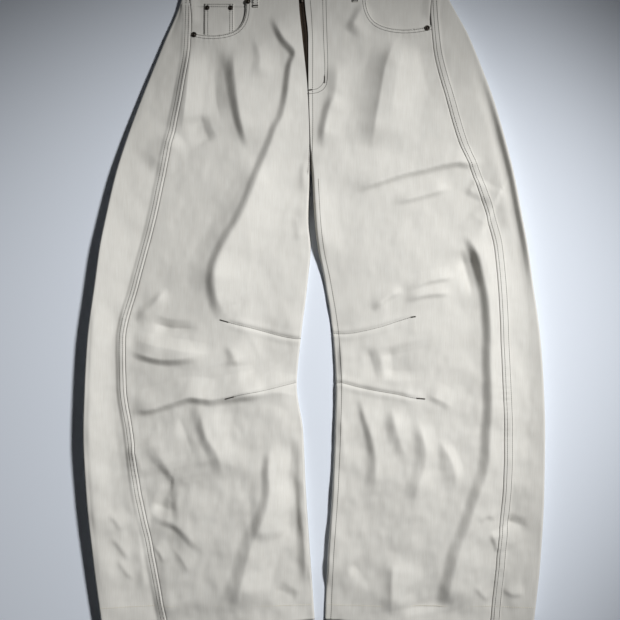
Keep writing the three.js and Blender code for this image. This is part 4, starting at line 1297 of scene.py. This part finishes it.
# The waist button: a plain dished cap with a rolled rim
cap = [(7.6, 0), (8.2, 0.5), (8.5, 1.6), (8.3, 2.7), (7.7, 3.4), (6.9, 3.5), (6.3, 3.1), (5.8, 2.7),
       (4.5, 2.5), (2.4, 2.5), (1.9, 2.6), (1.6, 2.9), (1.1, 3.1), (0.3, 3.15)]
places, ways = onFront(leftLeg, np.array([float(button["x"])]), np.array([float(button["down"])]),
                       cloth["gap"] + stitchSize["thick"] / 2)
piece = turnedPiece("waistButton", cap, places[0], ways[0], antiqueMetal)
sewOn(piece, ["waist_button"])
print("metal set")

# The floor, the lights and the camera, which looks straight down on the laid garment
view = dict(pixels=620, perPixel=1.58, centreX=0.8, centreDown=494.5, lens=50.0, sensor=36.0,
            faceHeight=0.015)
camera = addObject("camera", bpy.data.cameras.new("camera"))
camera.data.lens, camera.data.sensor_width, camera.data.clip_end = view["lens"], view["sensor"], 20
camera.location = ((view["centreX"] + shift["x"]) * mm, (shift["y"] - view["centreDown"]) * mm,
                   view["pixels"] * view["perPixel"] * mm * view["lens"] / view["sensor"]
                   + view["faceHeight"])
bpy.context.scene.camera = camera

floorMesh = bpy.data.meshes.new("floor")
floorMesh.from_pydata([(-4, -4, 0), (4, -4, 0), (4, 4, 0), (-4, 4, 0)], [], [(0, 1, 2, 3)])
material, s = shader("paleFloor")
surface = s.node("ShaderNodeBsdfPrincipled", None,
                 {"Base Color": screen(226, 233, 244), "Roughness": 0.85})
s.node("ShaderNodeOutputMaterial", None, {"Surface": surface})
floorMesh.materials.append(material)
addObject("floor", floorMesh)

# a soft-edged pool of light from the right, and a little light from everywhere
key = dict(at=(1.35, 0.8, 1.85), aim=(-0.14, -0.24, 0.0), cone=0.73, radius=0.15, power=284.0,
           colour=(1.0, 0.998, 0.99))
fill = dict(colour=(0.92, 0.94, 0.96), strength=0.028)
light = bpy.data.lights.new("window", "SPOT")
light.energy, light.color, light.shadow_soft_size = key["power"], key["colour"], key["radius"]
light.spot_size, light.spot_blend = key["cone"], 1.0
window = addObject("window", light)
window.location = key["at"]
window.rotation_euler = (Vector(key["aim"]) - Vector(key["at"])).to_track_quat("-Z", "Y").to_euler()
world = bpy.data.worlds.new("room")
world.use_nodes = True
around = world.node_tree.nodes["Background"].inputs
around["Color"].default_value = fill["colour"] + (1,)
around["Strength"].default_value = fill["strength"]
bpy.context.scene.world = world
bpy.context.scene.view_settings.view_transform = "Standard"

print("floor, light and camera set")
